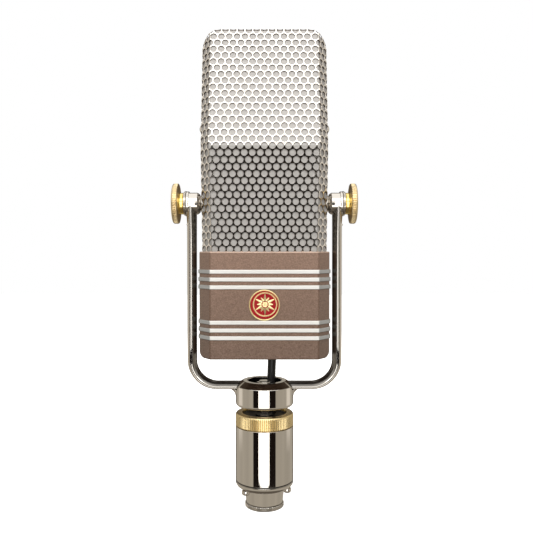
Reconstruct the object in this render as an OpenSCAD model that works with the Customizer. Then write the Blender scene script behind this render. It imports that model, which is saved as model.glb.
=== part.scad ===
// A ribbon microphone: a perforated cage over a painted housing, hung in a yoke
// on a rubber cushion mount that screws on a stand. Millimetres, +Z up, front to -Y.
// The origin is the mouth of the stand thread.

/* [Stand nut] */
// Diameter of the stand's thread
thread_d = 15.9; // [12:0.1:18]
// Diameter of the knurled flange
flange_d = 37; // [34:0.5:44]
// Height of the knurled flange
flange_h = 4.5; // [3:0.1:8]
// Diameter of the sleeve that turns in the neck
sleeve_d = 24; // [21:0.2:26]
// Height of the neck's bearing on that sleeve
bearing_h = 7.2; // [5:0.1:10]
// Thickness of the clip that keeps the nut in the neck
clip_t = 1; // [0.6:0.1:1.6]

/* [Cushion mount] */
// Diameter of the mount, of its lock ring and of the yoke's collar
mount_d = 55; // [53:0.5:60]
// Diameter of the neck at its foot
neck_foot_d = 35.2; // [33:0.2:38]
// Diameter of the neck where it meets the cap
neck_top_d = 37.6; // [36:0.2:40]
// Height of the neck
neck_h = 14.6; // [13:0.2:20]
// Height of the cap under the cylinder
cap_h = 7; // [6:0.2:10]
// Rounding of the cap's lower edge
cap_round = 5; // [2:0.5:5.5]
// Height of the cylinder's outside
cylinder_h = 51.1; // [48:0.1:60]
// Thickness of the cylinder's wall
cylinder_wall = 5.3; // [4.5:0.1:6]
// Thickness of the flange at the cylinder's foot
foot_h = 6.6; // [5:0.1:8]
// Diameter of the cap screws' circle
screw_circle_d = 45.6; // [45:0.2:47]
// Diameter of a cap screw's head
cap_head_d = 7.6; // [6:0.1:8]
// Height of a cap screw's head
cap_head_h = 4; // [2:0.1:4.5]
// Diameter of a cap screw's thread
cap_screw_d = 4; // [3:0.1:4]

/* [Rubber cushions] */
// Thickness of the lower cushion
lower_cushion_h = 13; // [10:0.5:14]
// Thickness of the stud's plate between the cushions
plate_h = 3; // [2:0.2:5]
// Diameter of the stud's plate
plate_d = 38; // [34:0.5:40]
// Diameter of the stud that carries the yoke
stud_d = 10; // [8:0.5:11]
// Width across the flats of the stud's nuts
stud_nut_w = 13; // [12.5:0.1:13.1]
// Thickness of the ring washer that holds the cushions down
clamp_h = 1; // [0.8:0.1:1.5]
// Play that the cushions give the yoke, over the lock ring
cushion_gap = 6.3; // [5:0.1:9]

/* [Lock ring] */
// Height of the brass lock ring
ring_h = 12.4; // [10:0.2:14]
// Thickness of the lip over the cushions
ring_lip = 1.9; // [1.2:0.1:3]
// Diameter of the hole in the lip
ring_hole_d = 41; // [38:0.5:42]
// Depth of the thread between ring and cylinder
ring_thread = 2.3; // [2:0.1:2.6]

/* [Cable outlet] */
// Diameter of the outlet's bore
outlet_d = 7.2; // [6:0.2:8]
// Diameter of the gland's flange
gland_d = 16; // [14:0.5:17]
// Length of the gland outside the mount
gland_l = 10; // [6:0.5:16]
// Height of the outlet above the board
outlet_rise = 9; // [8.8:0.1:9.2]
// Thickness of the insulating boards
board_t = 3; // [2:0.2:4]

/* [Yoke] */
// Height of the yoke's collar
collar_h = 24.2; // [22:0.2:27]
// Height of the collar's cone
collar_cone_h = 4.7; // [3:0.1:6]
// Diameter of the collar's top rim
collar_rim_d = 40; // [37:0.5:44]
// Diameter of the well in the collar
well_d = 32; // [31.4:0.2:34]
// Depth of the well
well_h = 10.7; // [9:0.1:12]
// Rounding of the collar's lower edge
collar_round = 3.5; // [1:0.5:5]
// Height from the yoke's bar to the pivots
pivot_rise = 172.4; // [170:0.2:190]
// Thickness of the yoke's arms
arm_t = 8.4; // [7:0.1:9]
// Thickness of the bar under the head
bar_t = 6.2; // [5:0.1:8]
// Width of the arms and the bar, from front to back
arm_w = 16; // [14:0.5:18]
// Radius of the yoke's corners, at the middle of its metal
corner_r = 24.3; // [18:0.1:30]
// Diameter of the bosses at the pivots
boss_d = 20.6; // [19:0.2:24]
// Length of a boss
boss_l = 10.2; // [10:0.1:13]
// Thickness of the teardrop pad outside a boss
pad_t = 2.4; // [1.6:0.1:3.5]
// Length of the pad's tail under the pivot
pad_tail = 24; // [18:0.5:30]

/* [Pivots] */
// Diameter of the pivot studs
pivot_d = 10; // [8:0.2:11]
// Diameter of the thread for the thumb nuts
knob_thread_d = 8; // [6:0.2:9]
// Outside diameter of the bushes in the bosses
bush_d = 14; // [13:0.2:15]
// Diameter of the spacers beside the cage
spacer_d = 16; // [13.5:0.2:17]
// Length of a spacer outside the cage
spacer_l = 3; // [2:0.1:5]
// Thickness of each of the two washers
washer_t = 1.1; // [0.8:0.1:1.6]
// Diameter of the thumb nuts
knob_d = 38; // [32:0.5:44]
// Thickness of a thumb nut's knurled rim
knob_rim = 5.2; // [4:0.1:7]
// Diameter of a thumb nut's neck
knob_neck_d = 20.4; // [18:0.2:22]
// Length of a thumb nut
knob_l = 10; // [9:0.2:13]

/* [Housing] */
// Width of the housing
housing_w = 120.6; // [120.4:0.2:124]
// Depth of the housing
housing_d = 60; // [58:0.5:64]
// Height of the housing
housing_h = 98.3; // [95:0.5:104]
// Width of the housing's flat front
front_w = 98.8; // [92:0.4:102]
// Width of the housing's flat sides
side_w = 32; // [30:0.5:36]
// Thickness of the housing's wall
housing_wall = 2.3; // [1.8:0.1:2.6]
// Rounding of the housing's lower corners
housing_round = 6.5; // [4:0.5:8]
// Distance from the pivots down to the housing's bottom
housing_drop = 143.7; // [141:0.1:146]
// Height of a trim band
band_h = 3.6; // [2.6:0.1:4.4]
// Distance from one trim band to the next
band_pitch = 7.05; // [6:0.05:8]
// How far the trim bands stand proud
band_t = 1; // [0.5:0.1:1.5]
// Height of the lowest band's middle above the housing's bottom
lower_bands = 19.7; // [16:0.1:24]
// Height from there to the upper group's lowest band
bands_apart = 46.2; // [42:0.1:50]
// Diameter of the badge
badge_d = 28.2; // [22:0.2:28.2]
// How far the badge stands proud
badge_t = 1.3; // [0.8:0.1:2]
// Thickness of the deck plate under the cage
deck_t = 3; // [2:0.2:5]
// How far the cage sits down in the housing
cage_seat = 6; // [4:0.5:9]

/* [Cage] */
// Clearance between the cage's side and the housing's inner face
cage_side_gap = 0.3; // [0.3:0.1:2]
// Depth of the cage at its crease
crease_d = 82; // [70:0.5:90]
// Depth of the cage at its top
cage_top_d = 34; // [30:0.5:44]
// Height of the lower panel, from the housing to the crease
lower_panel_h = 94; // [85:0.5:100]
// Height of the upper panel
upper_panel_h = 110; // [95:0.5:125]
// Width of the cage's flat front
cage_front_w = 99; // [90:0.5:104]
// How far the bevels run back
bevel_d = 12; // [8:0.5:13]
// Rounding of the cage's top corners
cage_round = 17.5; // [10:0.5:22]
// Thickness of the perforated sheet
grille_t = 1.2; // [0.8:0.1:1.6]
// Thickness of the fine screen behind it
screen_t = 0.4; // [0.3:0.1:0.6]
// Height of the cage screws above the crease
cage_screw_rise = 21.6; // [15:0.2:30]
// Diameter of a cage screw's head
cage_head_d = 8.5; // [6:0.1:10]
// Height of a cage screw's head
cage_head_h = 2.8; // [1.5:0.1:4]

/* [Motor] */
// Height of the ribbon's middle above the crease
ribbon_rise = 4; // [-4:0.5:6]
// Length of the pole pieces beside the ribbon
pole_l = 62; // [50:0.5:66]
// Width of the ribbon
ribbon_w = 4.7; // [3:0.1:6]
// Space between the ribbon and each pole
ribbon_space = 0.15; // [0.1:0.01:0.3]
// Distance from one fold of the ribbon to the next
fold_pitch = 2; // [1.5:0.1:4]
// Width of the magnet
magnet_w = 76; // [70:0.5:80]
// Thickness of the magnet's legs
magnet_leg = 16; // [12:0.5:20]
// Depth of the magnet from front to back
magnet_d = 22; // [18:0.5:26]
// Height of the block that carries the magnet
block_h = 9; // [6:0.5:12]
// Thickness of the side rails
rail_t = 2.7; // [2:0.1:3.5]
// Width of the side rails
rail_w = 20; // [19.4:0.2:22]

/* [Transformer] */
// Width of the transformer's core
core_w = 36; // [30:0.5:38]
// Height of the transformer's core
core_h = 42; // [34:0.5:50]
// Depth of the transformer's core
core_d = 22; // [16:0.5:26]
// Height of the terminal board's posts
post_h = 16; // [12:0.5:20]

/* [Lead] */
// Diameter of the lead from the head to the mount
lead_d = 7.7; // [6:0.1:7.8]

/* [Hidden] */
$fn = 64;
// Space between pieces that move against each other
gap = 0.3;
// Radial clearance of a shaft in its bore, and of a screw in its thread
fit = 0.05;
eps = 0.01;

// Heights, from the stand thread up
neck_z = flange_h + gap;
clip_z = neck_z + bearing_h + gap;
sleeve_top = clip_z + clip_t + 1;
shoulder_z = neck_z + neck_h;
cap_top = shoulder_z + cap_h;
mount_r = mount_d / 2;
spigot_h = 3.6;
board_z = cap_top + spigot_h;
outlet_z = board_z + board_t + outlet_rise;
cyl_top = cap_top + cylinder_h;
cyl_in_r = mount_r - cylinder_wall;
ring_z = cyl_top + gap;
ring_top = ring_z + ring_h;
lip_z = ring_top - ring_lip;
clamp_z = lip_z - gap - clamp_h;
thread_r = mount_r - ring_thread;
collar_z = ring_top + cushion_gap;
collar_top = collar_z + collar_h;
cushion_top = clamp_z - gap;
shelf_t = 2;
shelf_z = outlet_z + gland_d / 2 + 1;
plate_z = shelf_z + shelf_t + lower_cushion_h + gap;
upper_cushion_z = plate_z + plate_h + gap;
cushion_r = cyl_in_r - gap;
floor_z = collar_z + 1;
well_z = collar_top - well_h;
stud_top = collar_top - 0.7;
stud_washer_t = 1.2;
bar_z = collar_top - collar_cone_h;
pivot_z = bar_z + pivot_rise;

// Lengths along the pivots, from the middle of the head outwards
cage_inset = housing_wall + cage_side_gap;
cage_w = housing_w - 2 * cage_inset;
cage_r = cage_w / 2;
rail_x = cage_r - grille_t - screen_t - gap - rail_t;
spacer_x = cage_r + spacer_l;
boss_x = spacer_x + gap;
pad_x = boss_x + boss_l;
washer_x = pad_x + pad_t + gap;
knob_x = washer_x + 2 * washer_t + fit + gap;
arm_x = pad_x + 1.8 - arm_t / 2;
pivot_end = knob_x + knob_l - 3;

// Heights of the head
housing_z = pivot_z - housing_drop;
housing_top = housing_z + housing_h;
crease_z = housing_top + lower_panel_h;
cage_top = crease_z + upper_panel_h;
cage_z = housing_top - cage_seat;
deck_z = cage_z - deck_t;
housing_floor = housing_z + housing_wall;
badge_z = housing_z + lower_bands + band_pitch + bands_apart / 2;
cage_screw_z = crease_z + cage_screw_rise;
ribbon_z = crease_z + ribbon_rise;
pole_z = ribbon_z - pole_l / 2;
pole_top = ribbon_z + pole_l / 2;
magnet_z = cage_z + block_h;
post_top = housing_floor + post_h;
core_z = housing_floor + 2;

// The tie rods and the screws at their ends
rod_x = rail_x - 5.1;
rod_d = 6;
rod_head_d = 6;
rod_head_h = 1.7;
rod_y = (rail_w + rod_head_d) / 2;
rod_thread_l = 7;
rail_head_d = 5.2;
rail_head_h = 1.8;
rail_over = 10;
frame_screw_d = 3;
rail_foot = 12;
rail_foot_t = 2.4;
rail_screw_x = rail_x - rail_foot / 2;
rail_screw_y = rail_w / 4;

// The ribbon, its clamps and the insulators under them
ribbon_half_t = 0.1;
clamp_l = 8;
clamp_w = 24;
clamp_t = 2;
insulator_w = 36;
insulator_t = 8;
clamp_screw_x = 9;
clamp_screw_d = 2;

// The transformer's place, and the terminal board on its posts
core_x = rod_d / 2 - rod_x;
board_x = [2, 40];
board_y = 15;
post_x = 35;
post_y = 10;

// The lead's way: up from the mount's board, past the stud, into the head's board
lead_x = 6.5;
lead_y = 9.5;
lead_hole_d = lead_d + 2;
lead_split_z = collar_z + 7.5;
HEAD_LEAD = [[6.5, 9.5, lead_split_z], [6.5, 9.5, well_z], [6.6, 9.5, collar_top],
    [6.8, 9.4, collar_top + 8], [7.1, 9.3, collar_top + 16], [7.3, 9.2, housing_z],
    [7.4, 9.2, housing_floor], [8, 9.2, housing_floor + 5], [9, 9, housing_floor + 10],
    [9, 9, post_top]];
MOUNT_LEAD = [[6.5, 9.5, board_z + board_t], [6.5, 9.5, shelf_z], [6.5, 9.5, plate_z],
    [6.5, 9.5, cushion_top], [6.5, 9.5, lead_split_z]];
// The thin wires from the ribbon's clamps to the transformer
wire_d = 1.2;
wire_y = -magnet_d / 2 - 2.5;
TOP_WIRE = [[-14, -7.7, pole_top + 4], [-20, -10, pole_top + 6], [-28, wire_y, pole_top],
    [-30, wire_y, ribbon_z], [-30, wire_y, magnet_z], [-27, wire_y, cage_z],
    [-27, wire_y, deck_z - 6], [-26, -8, core_z + core_h + 0.4]];
LOW_WIRE = [[-14, -7.7, pole_z - 4], [-18, -10, pole_z - 8], [-22, wire_y, pole_z - 20],
    [-24, wire_y, magnet_z], [-24, wire_y, cage_z], [-24, wire_y, deck_z - 6],
    [-22, -8, core_z + core_h + 0.4]];

// ---- shapes that are used again ----

// Points of an arc in a profile
function arc(c, r, a0, a1, n = 8) =
    [for (i = [0 : n]) let (a = a0 + (a1 - a0) * i / n) c + r * [cos(a), sin(a)]];

// A plan with flat front and sides and bevels between; inset moves every face inwards
function plan(w, d, flat, side, inset = 0) =
    let (turn = atan2(d - side, w - flat),
         a = (flat - inset * 2 * tan(turn / 2)) / 2, b = (side - inset * 2 * tan(45 - turn / 2)) / 2,
         x = w / 2 - inset, y = d / 2 - inset)
    [[a, -y], [x, -b], [x, b], [a, y], [-a, y], [-x, b], [-x, -b], [-a, -y]];

function unit(v) = v / norm(v);
function along(p, i) = unit(p[min(i + 1, len(p) - 1)] - p[max(i - 1, 0)]);

// A closed solid swept along a path; sections[i] holds [across, along Y] points at path[i]
module sweep(path, sections) {
    n = len(sections[0]);
    m = len(path);
    rings = [for (i = [0 : m - 1])
        let (t = along(path, i), u = unit(cross(t, [0, 1, 0])), v = cross(u, t))
        for (s = sections[i]) path[i] + s[0] * u + s[1] * v];
    polyhedron(rings, concat(
        [[for (k = [0 : n - 1]) k]],
        [[for (k = [0 : n - 1]) m * n - 1 - k]],
        [for (i = [0 : m - 2]) for (k = [0 : n - 1])
            let (a = i * n + k, b = i * n + (k + 1) % n) [a, a + n, b + n, b]]));
}

// A round cord along a path
module cord(path, d, sides) {
    sweep(path, [for (p = path) [for (k = [0 : sides - 1])
        d / 2 * [cos(360 * k / sides), -sin(360 * k / sides)]]]);
}

module hex(w, h) {
    cylinder(d = w / cos(30), h = h, $fn = 6);
}

// A round bar, ring or bore along X, from x = a to x = b, at the height of the pivots
module pivot_round(d, a, b) {
    translate([a, 0, pivot_z]) rotate([0, 90, 0]) cylinder(d = d, h = b - a);
}

// What turns round the pivots: a profile of [radius, x] points
module pivot_turned(profile) {
    translate([0, 0, pivot_z]) rotate([0, 90, 0]) rotate_extrude() polygon(profile);
}

// One copy on the right and its mirror image on the left
module both_sides() {
    children();
    mirror([1, 0, 0]) children();
}

// A screw from its head's seat: the shank goes up, the domed head hangs below
module screw(d, l, head_d, head_h) {
    dome = min(head_h * 0.6, head_d * 0.3);
    cylinder(d = d, h = l);
    rotate_extrude() polygon(concat([[0, 0], [head_d / 2, 0], [head_d / 2, dome - head_h]],
        [for (a = [15 : 15 : 90]) [head_d / 2 * cos(a), dome - head_h - dome * sin(a)]]));
}

module at_cap_screws() {
    for (a = [-50, 70, 190]) rotate(a) translate([0, -screw_circle_d / 2, 0]) children();
}

module at_rods() {
    for (x = [-rod_x, rod_x], y = [-rod_y, rod_y]) translate([x, y, 0]) children();
}

module at_rail_screws() {
    for (x = [-rail_screw_x, rail_screw_x], y = [-rail_screw_y, rail_screw_y])
        translate([x, y, 0]) children();
}

module lead_hole(z0, z1, d) {
    translate([lead_x, lead_y, z0]) cylinder(d = d, h = z1 - z0);
}

// ---- stand nut and cushion mount ----

module stand_nut() {
    color("silver") difference() {
        rotate_extrude() polygon([[0, 0], [flange_d / 2 - 1, 0], [flange_d / 2, 0.8],
            [flange_d / 2, flange_h - 0.8], [flange_d / 2 - 0.8, flange_h], [sleeve_d / 2, flange_h],
            [sleeve_d / 2, clip_z], [sleeve_d / 2 - 1, clip_z], [sleeve_d / 2 - 1, clip_z + clip_t],
            [sleeve_d / 2, clip_z + clip_t], [sleeve_d / 2, sleeve_top], [0, sleeve_top]]);
        translate([0, 0, -1]) cylinder(d = thread_d, h = sleeve_top + 2);
    }
}

module stand_clip() {
    color("dimgray") translate([0, 0, clip_z]) difference() {
        cylinder(d = sleeve_d + 3.2, h = clip_t);
        translate([0, 0, -1]) cylinder(d = sleeve_d - 2, h = clip_t + 2);
        translate([0, -2, -1]) cube([sleeve_d, 4, clip_t + 2]);
    }
}

module mount_cap() {
    edge_r = mount_r - cap_round;
    seam = 0.5;
    color("silver") difference() {
        rotate_extrude() polygon(concat(
            [[0, neck_z], [neck_foot_d / 2, neck_z], [neck_top_d / 2, shoulder_z]],
            arc([edge_r, shoulder_z + cap_round], cap_round, -90, 0),
            [[mount_r, cap_top - seam], [mount_r - seam, cap_top - seam], [mount_r - seam, cap_top],
             [cyl_in_r - 2, cap_top], [cyl_in_r - 2, board_z], [0, board_z]]));
        translate([0, 0, neck_z - 1]) cylinder(d = sleeve_d + 2 * fit, h = bearing_h + 2);
        translate([0, 0, neck_z + bearing_h]) cylinder(d = sleeve_d + 4.2, h = cap_h + neck_h);
        at_cap_screws() translate([0, 0, shoulder_z - 1])
            cylinder(d = cap_screw_d + 4 * fit, h = cap_h + 2);
    }
}

module mount_cylinder() {
    outlet = [0, 0, outlet_z];
    color("silver") difference() {
        union() {
            translate([0, 0, cap_top]) cylinder(d = mount_d, h = cylinder_h);
            translate([0, 0, cyl_top]) cylinder(r = thread_r, h = clamp_z - cyl_top);
        }
        translate([0, 0, cap_top - 1]) cylinder(r = cyl_in_r - 2 + fit, h = cylinder_h);
        translate([0, 0, cap_top + foot_h]) cylinder(r = cyl_in_r, h = shelf_z - cap_top - foot_h);
        translate([0, 0, shelf_z + shelf_t]) cylinder(r = cyl_in_r, h = cylinder_h + ring_h);
        at_cap_screws() translate([0, 0, cap_top - 1]) cylinder(d = cap_screw_d + 2 * fit, h = foot_h);
        translate(outlet) rotate([-90, 0, 0]) {
            cylinder(d = gland_d - 6 + 2 * fit, h = mount_d);
            cylinder(d = gland_d + 1, h = cyl_in_r + 0.7);
            translate([0, 0, mount_r - 1]) cylinder(d = gland_d + 2, h = 5);
        }
    }
}

module cap_screws() {
    color("gainsboro") at_cap_screws() translate([0, 0, shoulder_z])
        screw(cap_screw_d, cap_h + foot_h - 2, cap_head_d, cap_head_h);
}

module cable_gland() {
    color("silver") translate([0, 0, outlet_z]) rotate([-90, 0, 0]) difference() {
        union() {
            translate([0, 0, cyl_in_r - 4]) cylinder(d = gland_d - 6, h = cylinder_wall + 4);
            translate([0, 0, mount_r - 1]) cylinder(d = gland_d, h = gland_l - 3);
            translate([0, 0, mount_r - 1]) cylinder(d = gland_d - 4, h = gland_l);
        }
        translate([0, 0, cyl_in_r - 5]) cylinder(d = outlet_d, h = cylinder_wall + gland_l + 6);
    }
}

module gland_nut() {
    nut_h = 3;
    color("gold") translate([0, cyl_in_r + 0.7 - nut_h, outlet_z]) rotate([-90, 0, 0]) difference() {
        hex(gland_d - 2.4, nut_h);
        translate([0, 0, -1]) cylinder(d = gland_d - 6 + 2 * fit, h = nut_h + 2);
    }
}

module outlet_board() {
    color("saddlebrown") translate([0, 0, board_z]) cylinder(r = cyl_in_r - 2.4, h = board_t);
}

module outlet_lugs() {
    color("gold") for (a = [-90, 0, 90]) rotate(a) translate([0, -11, board_z + board_t]) {
        cylinder(d = 5, h = 2);
        cylinder(d = 2.4, h = 5);
    }
}

module cushion(z0, z1) {
    color("black") difference() {
        translate([0, 0, z0]) cylinder(r = cushion_r, h = z1 - z0);
        translate([0, 0, z0 - 1]) cylinder(d = stud_nut_w / cos(30) + 2, h = z1 - z0 + 2);
        lead_hole(z0 - 1, z1 + 1, lead_hole_d);
    }
}

module lower_cushion() {
    cushion(shelf_z + shelf_t, plate_z - gap);
}

module upper_cushion() {
    cushion(upper_cushion_z, cushion_top);
}

module cushion_washer() {
    color("gray") translate([0, 0, clamp_z]) difference() {
        cylinder(r = thread_r - 0.4, h = clamp_h);
        translate([0, 0, -1]) cylinder(d = ring_hole_d, h = clamp_h + 2);
    }
}

module lock_ring() {
    color("goldenrod") rotate_extrude() polygon([[thread_r + fit, ring_z], [mount_r - 0.6, ring_z],
        [mount_r, ring_z + 0.6], [mount_r, ring_top - 1.2], [mount_r - 1.2, ring_top],
        [ring_hole_d / 2 + 0.8, ring_top], [ring_hole_d / 2, ring_top - 0.8],
        [ring_hole_d / 2, lip_z], [thread_r + fit, lip_z]]);
}

// ---- yoke and what is fixed to it ----

module isolator_stud() {
    color("silver") difference() {
        union() {
            translate([0, 0, plate_z]) cylinder(d = plate_d, h = plate_h);
            translate([0, 0, plate_z]) cylinder(d = stud_d, h = stud_top - plate_z);
        }
        lead_hole(plate_z - 1, plate_z + plate_h + 1, lead_hole_d);
    }
}

module stud_nuts() {
    low_h = collar_z - cushion_top - 0.9;
    color("silver") for (z_h = [[floor_z - stud_washer_t - low_h, low_h],
                                [well_z + stud_washer_t, stud_top - well_z - stud_washer_t - 1.3]])
        translate([0, 0, z_h[0]]) difference() {
            hex(stud_nut_w, z_h[1]);
            translate([0, 0, -1]) cylinder(d = stud_d + 2 * fit, h = z_h[1] + 2);
        }
}

module stud_washers() {
    color("silver") for (z = [floor_z - stud_washer_t, well_z]) translate([0, 0, z]) difference() {
        cylinder(r = norm([lead_x, lead_y]) - lead_d / 2 - 0.2, h = stud_washer_t);
        translate([0, 0, -1]) cylinder(d = stud_d + 2 * fit, h = stud_washer_t + 2);
    }
}

// The right half of the yoke's bent bar, as a path from the pivot to the middle
function half_yoke() = let (cx = arm_x - corner_r, cz = bar_z + corner_r) concat(
    [[arm_x, 0, pivot_z], [arm_x, 0, cz + 12]],
    [for (a = [0 : 9 : 90]) [cx + corner_r * cos(a), 0, cz - corner_r * sin(a)]],
    [[cx - 8, 0, bar_z]]);

// The bar's section: flat sides with full-round edges
function bar_section(t) = let (v = (arm_w - t) / 2) [
    for (a = [90 : 22.5 : 270]) [0, -v] + t / 2 * [sin(a), cos(a)],
    for (a = [-90 : 22.5 : 90]) [0, v] + t / 2 * [sin(a), cos(a)]];

module yoke_bar() {
    half = half_yoke();
    m = len(half);
    // the metal thins from the arms to the bar as it goes round the corner
    t = [for (i = [0 : m - 1]) arm_t + (bar_t - arm_t) * min(1, max(0, (i - 2) / 10))];
    path = concat(half, [for (i = [m - 1 : -1 : 0]) [-half[i][0], 0, half[i][2]]]);
    sweep(path, [for (i = [0 : 2 * m - 1]) bar_section(t[i < m ? i : 2 * m - 1 - i])]);
}

// The turned collar, with its well, floor and rounded lower edge
module collar_body() {
    rotate_extrude() polygon(concat([[0, floor_z], [mount_r - 5.5, floor_z], [mount_r - 5.5, collar_z]],
        arc([mount_r - collar_round, collar_z + collar_round], collar_round, -90, 0),
        [[mount_r, bar_z], [collar_rim_d / 2 + 0.8, collar_top - 0.4], [collar_rim_d / 2, collar_top],
         [well_d / 2 + 0.6, collar_top], [well_d / 2, collar_top - 0.6], [well_d / 2, well_z], [0, well_z]]));
}

// The fillet between the collar and the underside of the bar
module bar_fillet() {
    r = 7;
    translate([mount_r - 1, arm_w / 2 - 3, bar_z - 1]) rotate([90, 0, 0]) linear_extrude(arm_w - 6)
        difference() {
            translate([0, 1 - bar_t / 2 - r]) square([r + 1, r + bar_t / 2]);
            translate([r + 1, 1 - bar_t / 2 - r]) circle(r = r);
        }
}

module yoke_fork() {
    color("silver") difference() {
        union() {
            yoke_bar();
            collar_body();
            both_sides() {
                bar_fillet();
                pivot_turned([[0, boss_x], [boss_d / 2 - 1.5, boss_x], [boss_d / 2, boss_x + 2.5],
                    [boss_d / 2, pad_x + eps], [0, pad_x + eps]]);
                pivot_round(boss_d + 2.4, pad_x, pad_x + pad_t);
                hull() {
                    pivot_round(boss_d, pad_x - 1, pad_x + pad_t, $fn = 32);
                    translate([arm_x + arm_t / 2 - 2, 0, pivot_z - pad_tail]) sphere(d = 4, $fn = 24);
                }
            }
        }
        both_sides() pivot_round(bush_d + 2 * fit, boss_x - 5, pad_x + pad_t + 1);
        translate([0, 0, floor_z - 1]) cylinder(d = stud_d + 2 * fit, h = collar_h);
        lead_hole(floor_z - 1, well_z + 1, lead_hole_d);
        translate([0, 0, well_z]) cylinder(d = well_d, h = collar_h);
    }
}

module yoke_bushes() {
    color("peru") both_sides() difference() {
        pivot_round(bush_d, boss_x, pad_x + pad_t);
        pivot_round(pivot_d + 2 * fit, boss_x - 1, pad_x + pad_t + 1);
    }
}

module lead_grommet() {
    color("black") difference() {
        lead_hole(floor_z, well_z, lead_hole_d - 2 * fit);
        lead_hole(floor_z - 1, well_z + 1, lead_d + 2 * fit);
    }
}

module mount_lead() {
    color("black") cord(MOUNT_LEAD, lead_d, 12);
}

// ---- thumb nuts and their washers ----

module washers() {
    for (i = [0, 1]) pivot_turned(let (x = washer_x + i * (washer_t + fit), r = boss_d / 2 + 1.6 - 0.7 * i)
        [[knob_thread_d / 2 + 0.3, x], [r, x], [r, x + washer_t], [knob_thread_d / 2 + 0.3, x + washer_t]]);
}

module thumb_nut() {
    rim_x = knob_x + knob_l - knob_rim - 0.4;
    r = knob_d / 2;
    neck_r = knob_neck_d / 2;
    bore_r = knob_thread_d / 2 + 2 * fit;
    end_x = knob_x + knob_l;
    pivot_turned([[bore_r, knob_x], [neck_r - 0.4, knob_x], [neck_r, knob_x + 0.4],
        [neck_r, rim_x - 2.2], [neck_r + 1.6, rim_x - 2], [r - 0.6, rim_x - 0.4], [r, rim_x + 0.3],
        [r, end_x - 1.8], [r - 1.6, end_x - 0.2], [r - 3, end_x], [0, end_x],
        [0, end_x - 2], [bore_r, end_x - 2]]);
}

module left_washers() {
    color("silver") mirror([1, 0, 0]) washers();
}

module left_thumb_nut() {
    color("goldenrod") mirror([1, 0, 0]) thumb_nut();
}

module right_washers() {
    color("silver") washers();
}

module right_thumb_nut() {
    color("goldenrod") thumb_nut();
}

// ---- the head's pivots and frame ----

module pivot_studs() {
    color("silver") both_sides() {
        pivot_round(pivot_d + 8, rail_x - 3, rail_x);
        pivot_round(pivot_d, rail_x - 1, pad_x + pad_t);
        pivot_round(knob_thread_d, pad_x, pivot_end);
    }
}

module pivot_spacers() {
    color("silver") both_sides() difference() {
        pivot_round(spacer_d, rail_x + rail_t, spacer_x);
        pivot_round(pivot_d + 2 * fit, rail_x, spacer_x + 1);
    }
}

module side_rails() {
    color("gray") both_sides() difference() {
        union() {
            translate([rail_x, -rail_w / 2, cage_z]) cube([rail_t, rail_w, cage_screw_z + rail_over - cage_z]);
            translate([rail_x - rail_foot, -rail_w / 2, cage_z]) cube([rail_foot + 1, rail_w, rail_foot_t]);
        }
        pivot_round(pivot_d + 2 * fit, rail_x - 1, rail_x + rail_t + 1);
        translate([rail_x - 1, 0, cage_screw_z]) rotate([0, 90, 0]) cylinder(d = frame_screw_d + 2 * fit, h = rail_t + 2);
        at_rail_screws() translate([0, 0, cage_z - 1]) cylinder(d = frame_screw_d + 2 * fit, h = rail_foot_t + 2);
    }
}

module rail_screws() {
    color("gainsboro") at_rail_screws() translate([0, 0, cage_z + rail_foot_t]) mirror([0, 0, 1])
        screw(frame_screw_d, rail_foot_t + deck_t + 3, rail_head_d, rail_head_h);
}

module deck_plate() {
    color("gray") difference() {
        translate([0, 0, deck_z]) linear_extrude(deck_t)
            polygon(plan(housing_w, housing_d, front_w, side_w, housing_wall + gap));
        at_rods() translate([0, 0, deck_z - 1]) cylinder(d = frame_screw_d + 2 * fit, h = deck_t + 2);
        at_rail_screws() translate([0, 0, deck_z - 1]) cylinder(d = frame_screw_d + 2 * fit, h = deck_t + 2);
        for (x = [TOP_WIRE[5][0], LOW_WIRE[4][0]]) translate([x, wire_y, deck_z - 1])
            cylinder(d = wire_d + 1.4, h = deck_t + 2);
    }
}

module deck_screws() {
    color("gainsboro") at_rods() translate([0, 0, cage_z]) mirror([0, 0, 1])
        screw(frame_screw_d, deck_t + rod_thread_l, rod_head_d, rod_head_h);
}

module tie_rods() {
    color("silver") at_rods() translate([0, 0, housing_floor]) difference() {
        cylinder(d = rod_d, h = deck_z - housing_floor);
        for (z = [-1, deck_z - housing_floor - rod_thread_l - 1])
            translate([0, 0, z]) cylinder(d = frame_screw_d + 2 * fit, h = rod_thread_l + 2);
    }
}

// ---- housing ----

module housing_plan(inset) {
    polygon(plan(housing_w, housing_d, front_w, side_w, inset));
}

// The housing's outline from the front, with its rounded lower corners
module front_outline(inset) {
    r = housing_round - inset;
    x = housing_w / 2 - housing_round;
    z = housing_z + housing_round;
    translate([0, housing_d, 0]) rotate([90, 0, 0]) linear_extrude(2 * housing_d) polygon(concat(
        [[-x - r, housing_top + 1]], arc([-x, z], r, 180, 270), arc([x, z], r, 270, 360),
        [[x + r, housing_top + 1]]));
}

module lower_housing() {
    color("rosybrown") difference() {
        intersection() {
            translate([0, 0, housing_z]) linear_extrude(housing_h) housing_plan(0);
            front_outline(0);
        }
        intersection() {
            translate([0, 0, housing_floor]) linear_extrude(housing_h) housing_plan(housing_wall);
            front_outline(housing_wall);
        }
        at_rods() translate([0, 0, housing_z - 1]) cylinder(d = frame_screw_d + 2 * fit, h = housing_wall + 2);
        translate([HEAD_LEAD[5][0], HEAD_LEAD[5][1], housing_z - 1]) cylinder(d = lead_d + 5, h = housing_wall + 2);
    }
}

module housing_screws() {
    color("gainsboro") at_rods() translate([0, 0, housing_z])
        screw(frame_screw_d, housing_wall + rod_thread_l, rod_head_d, rod_head_h);
}

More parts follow.
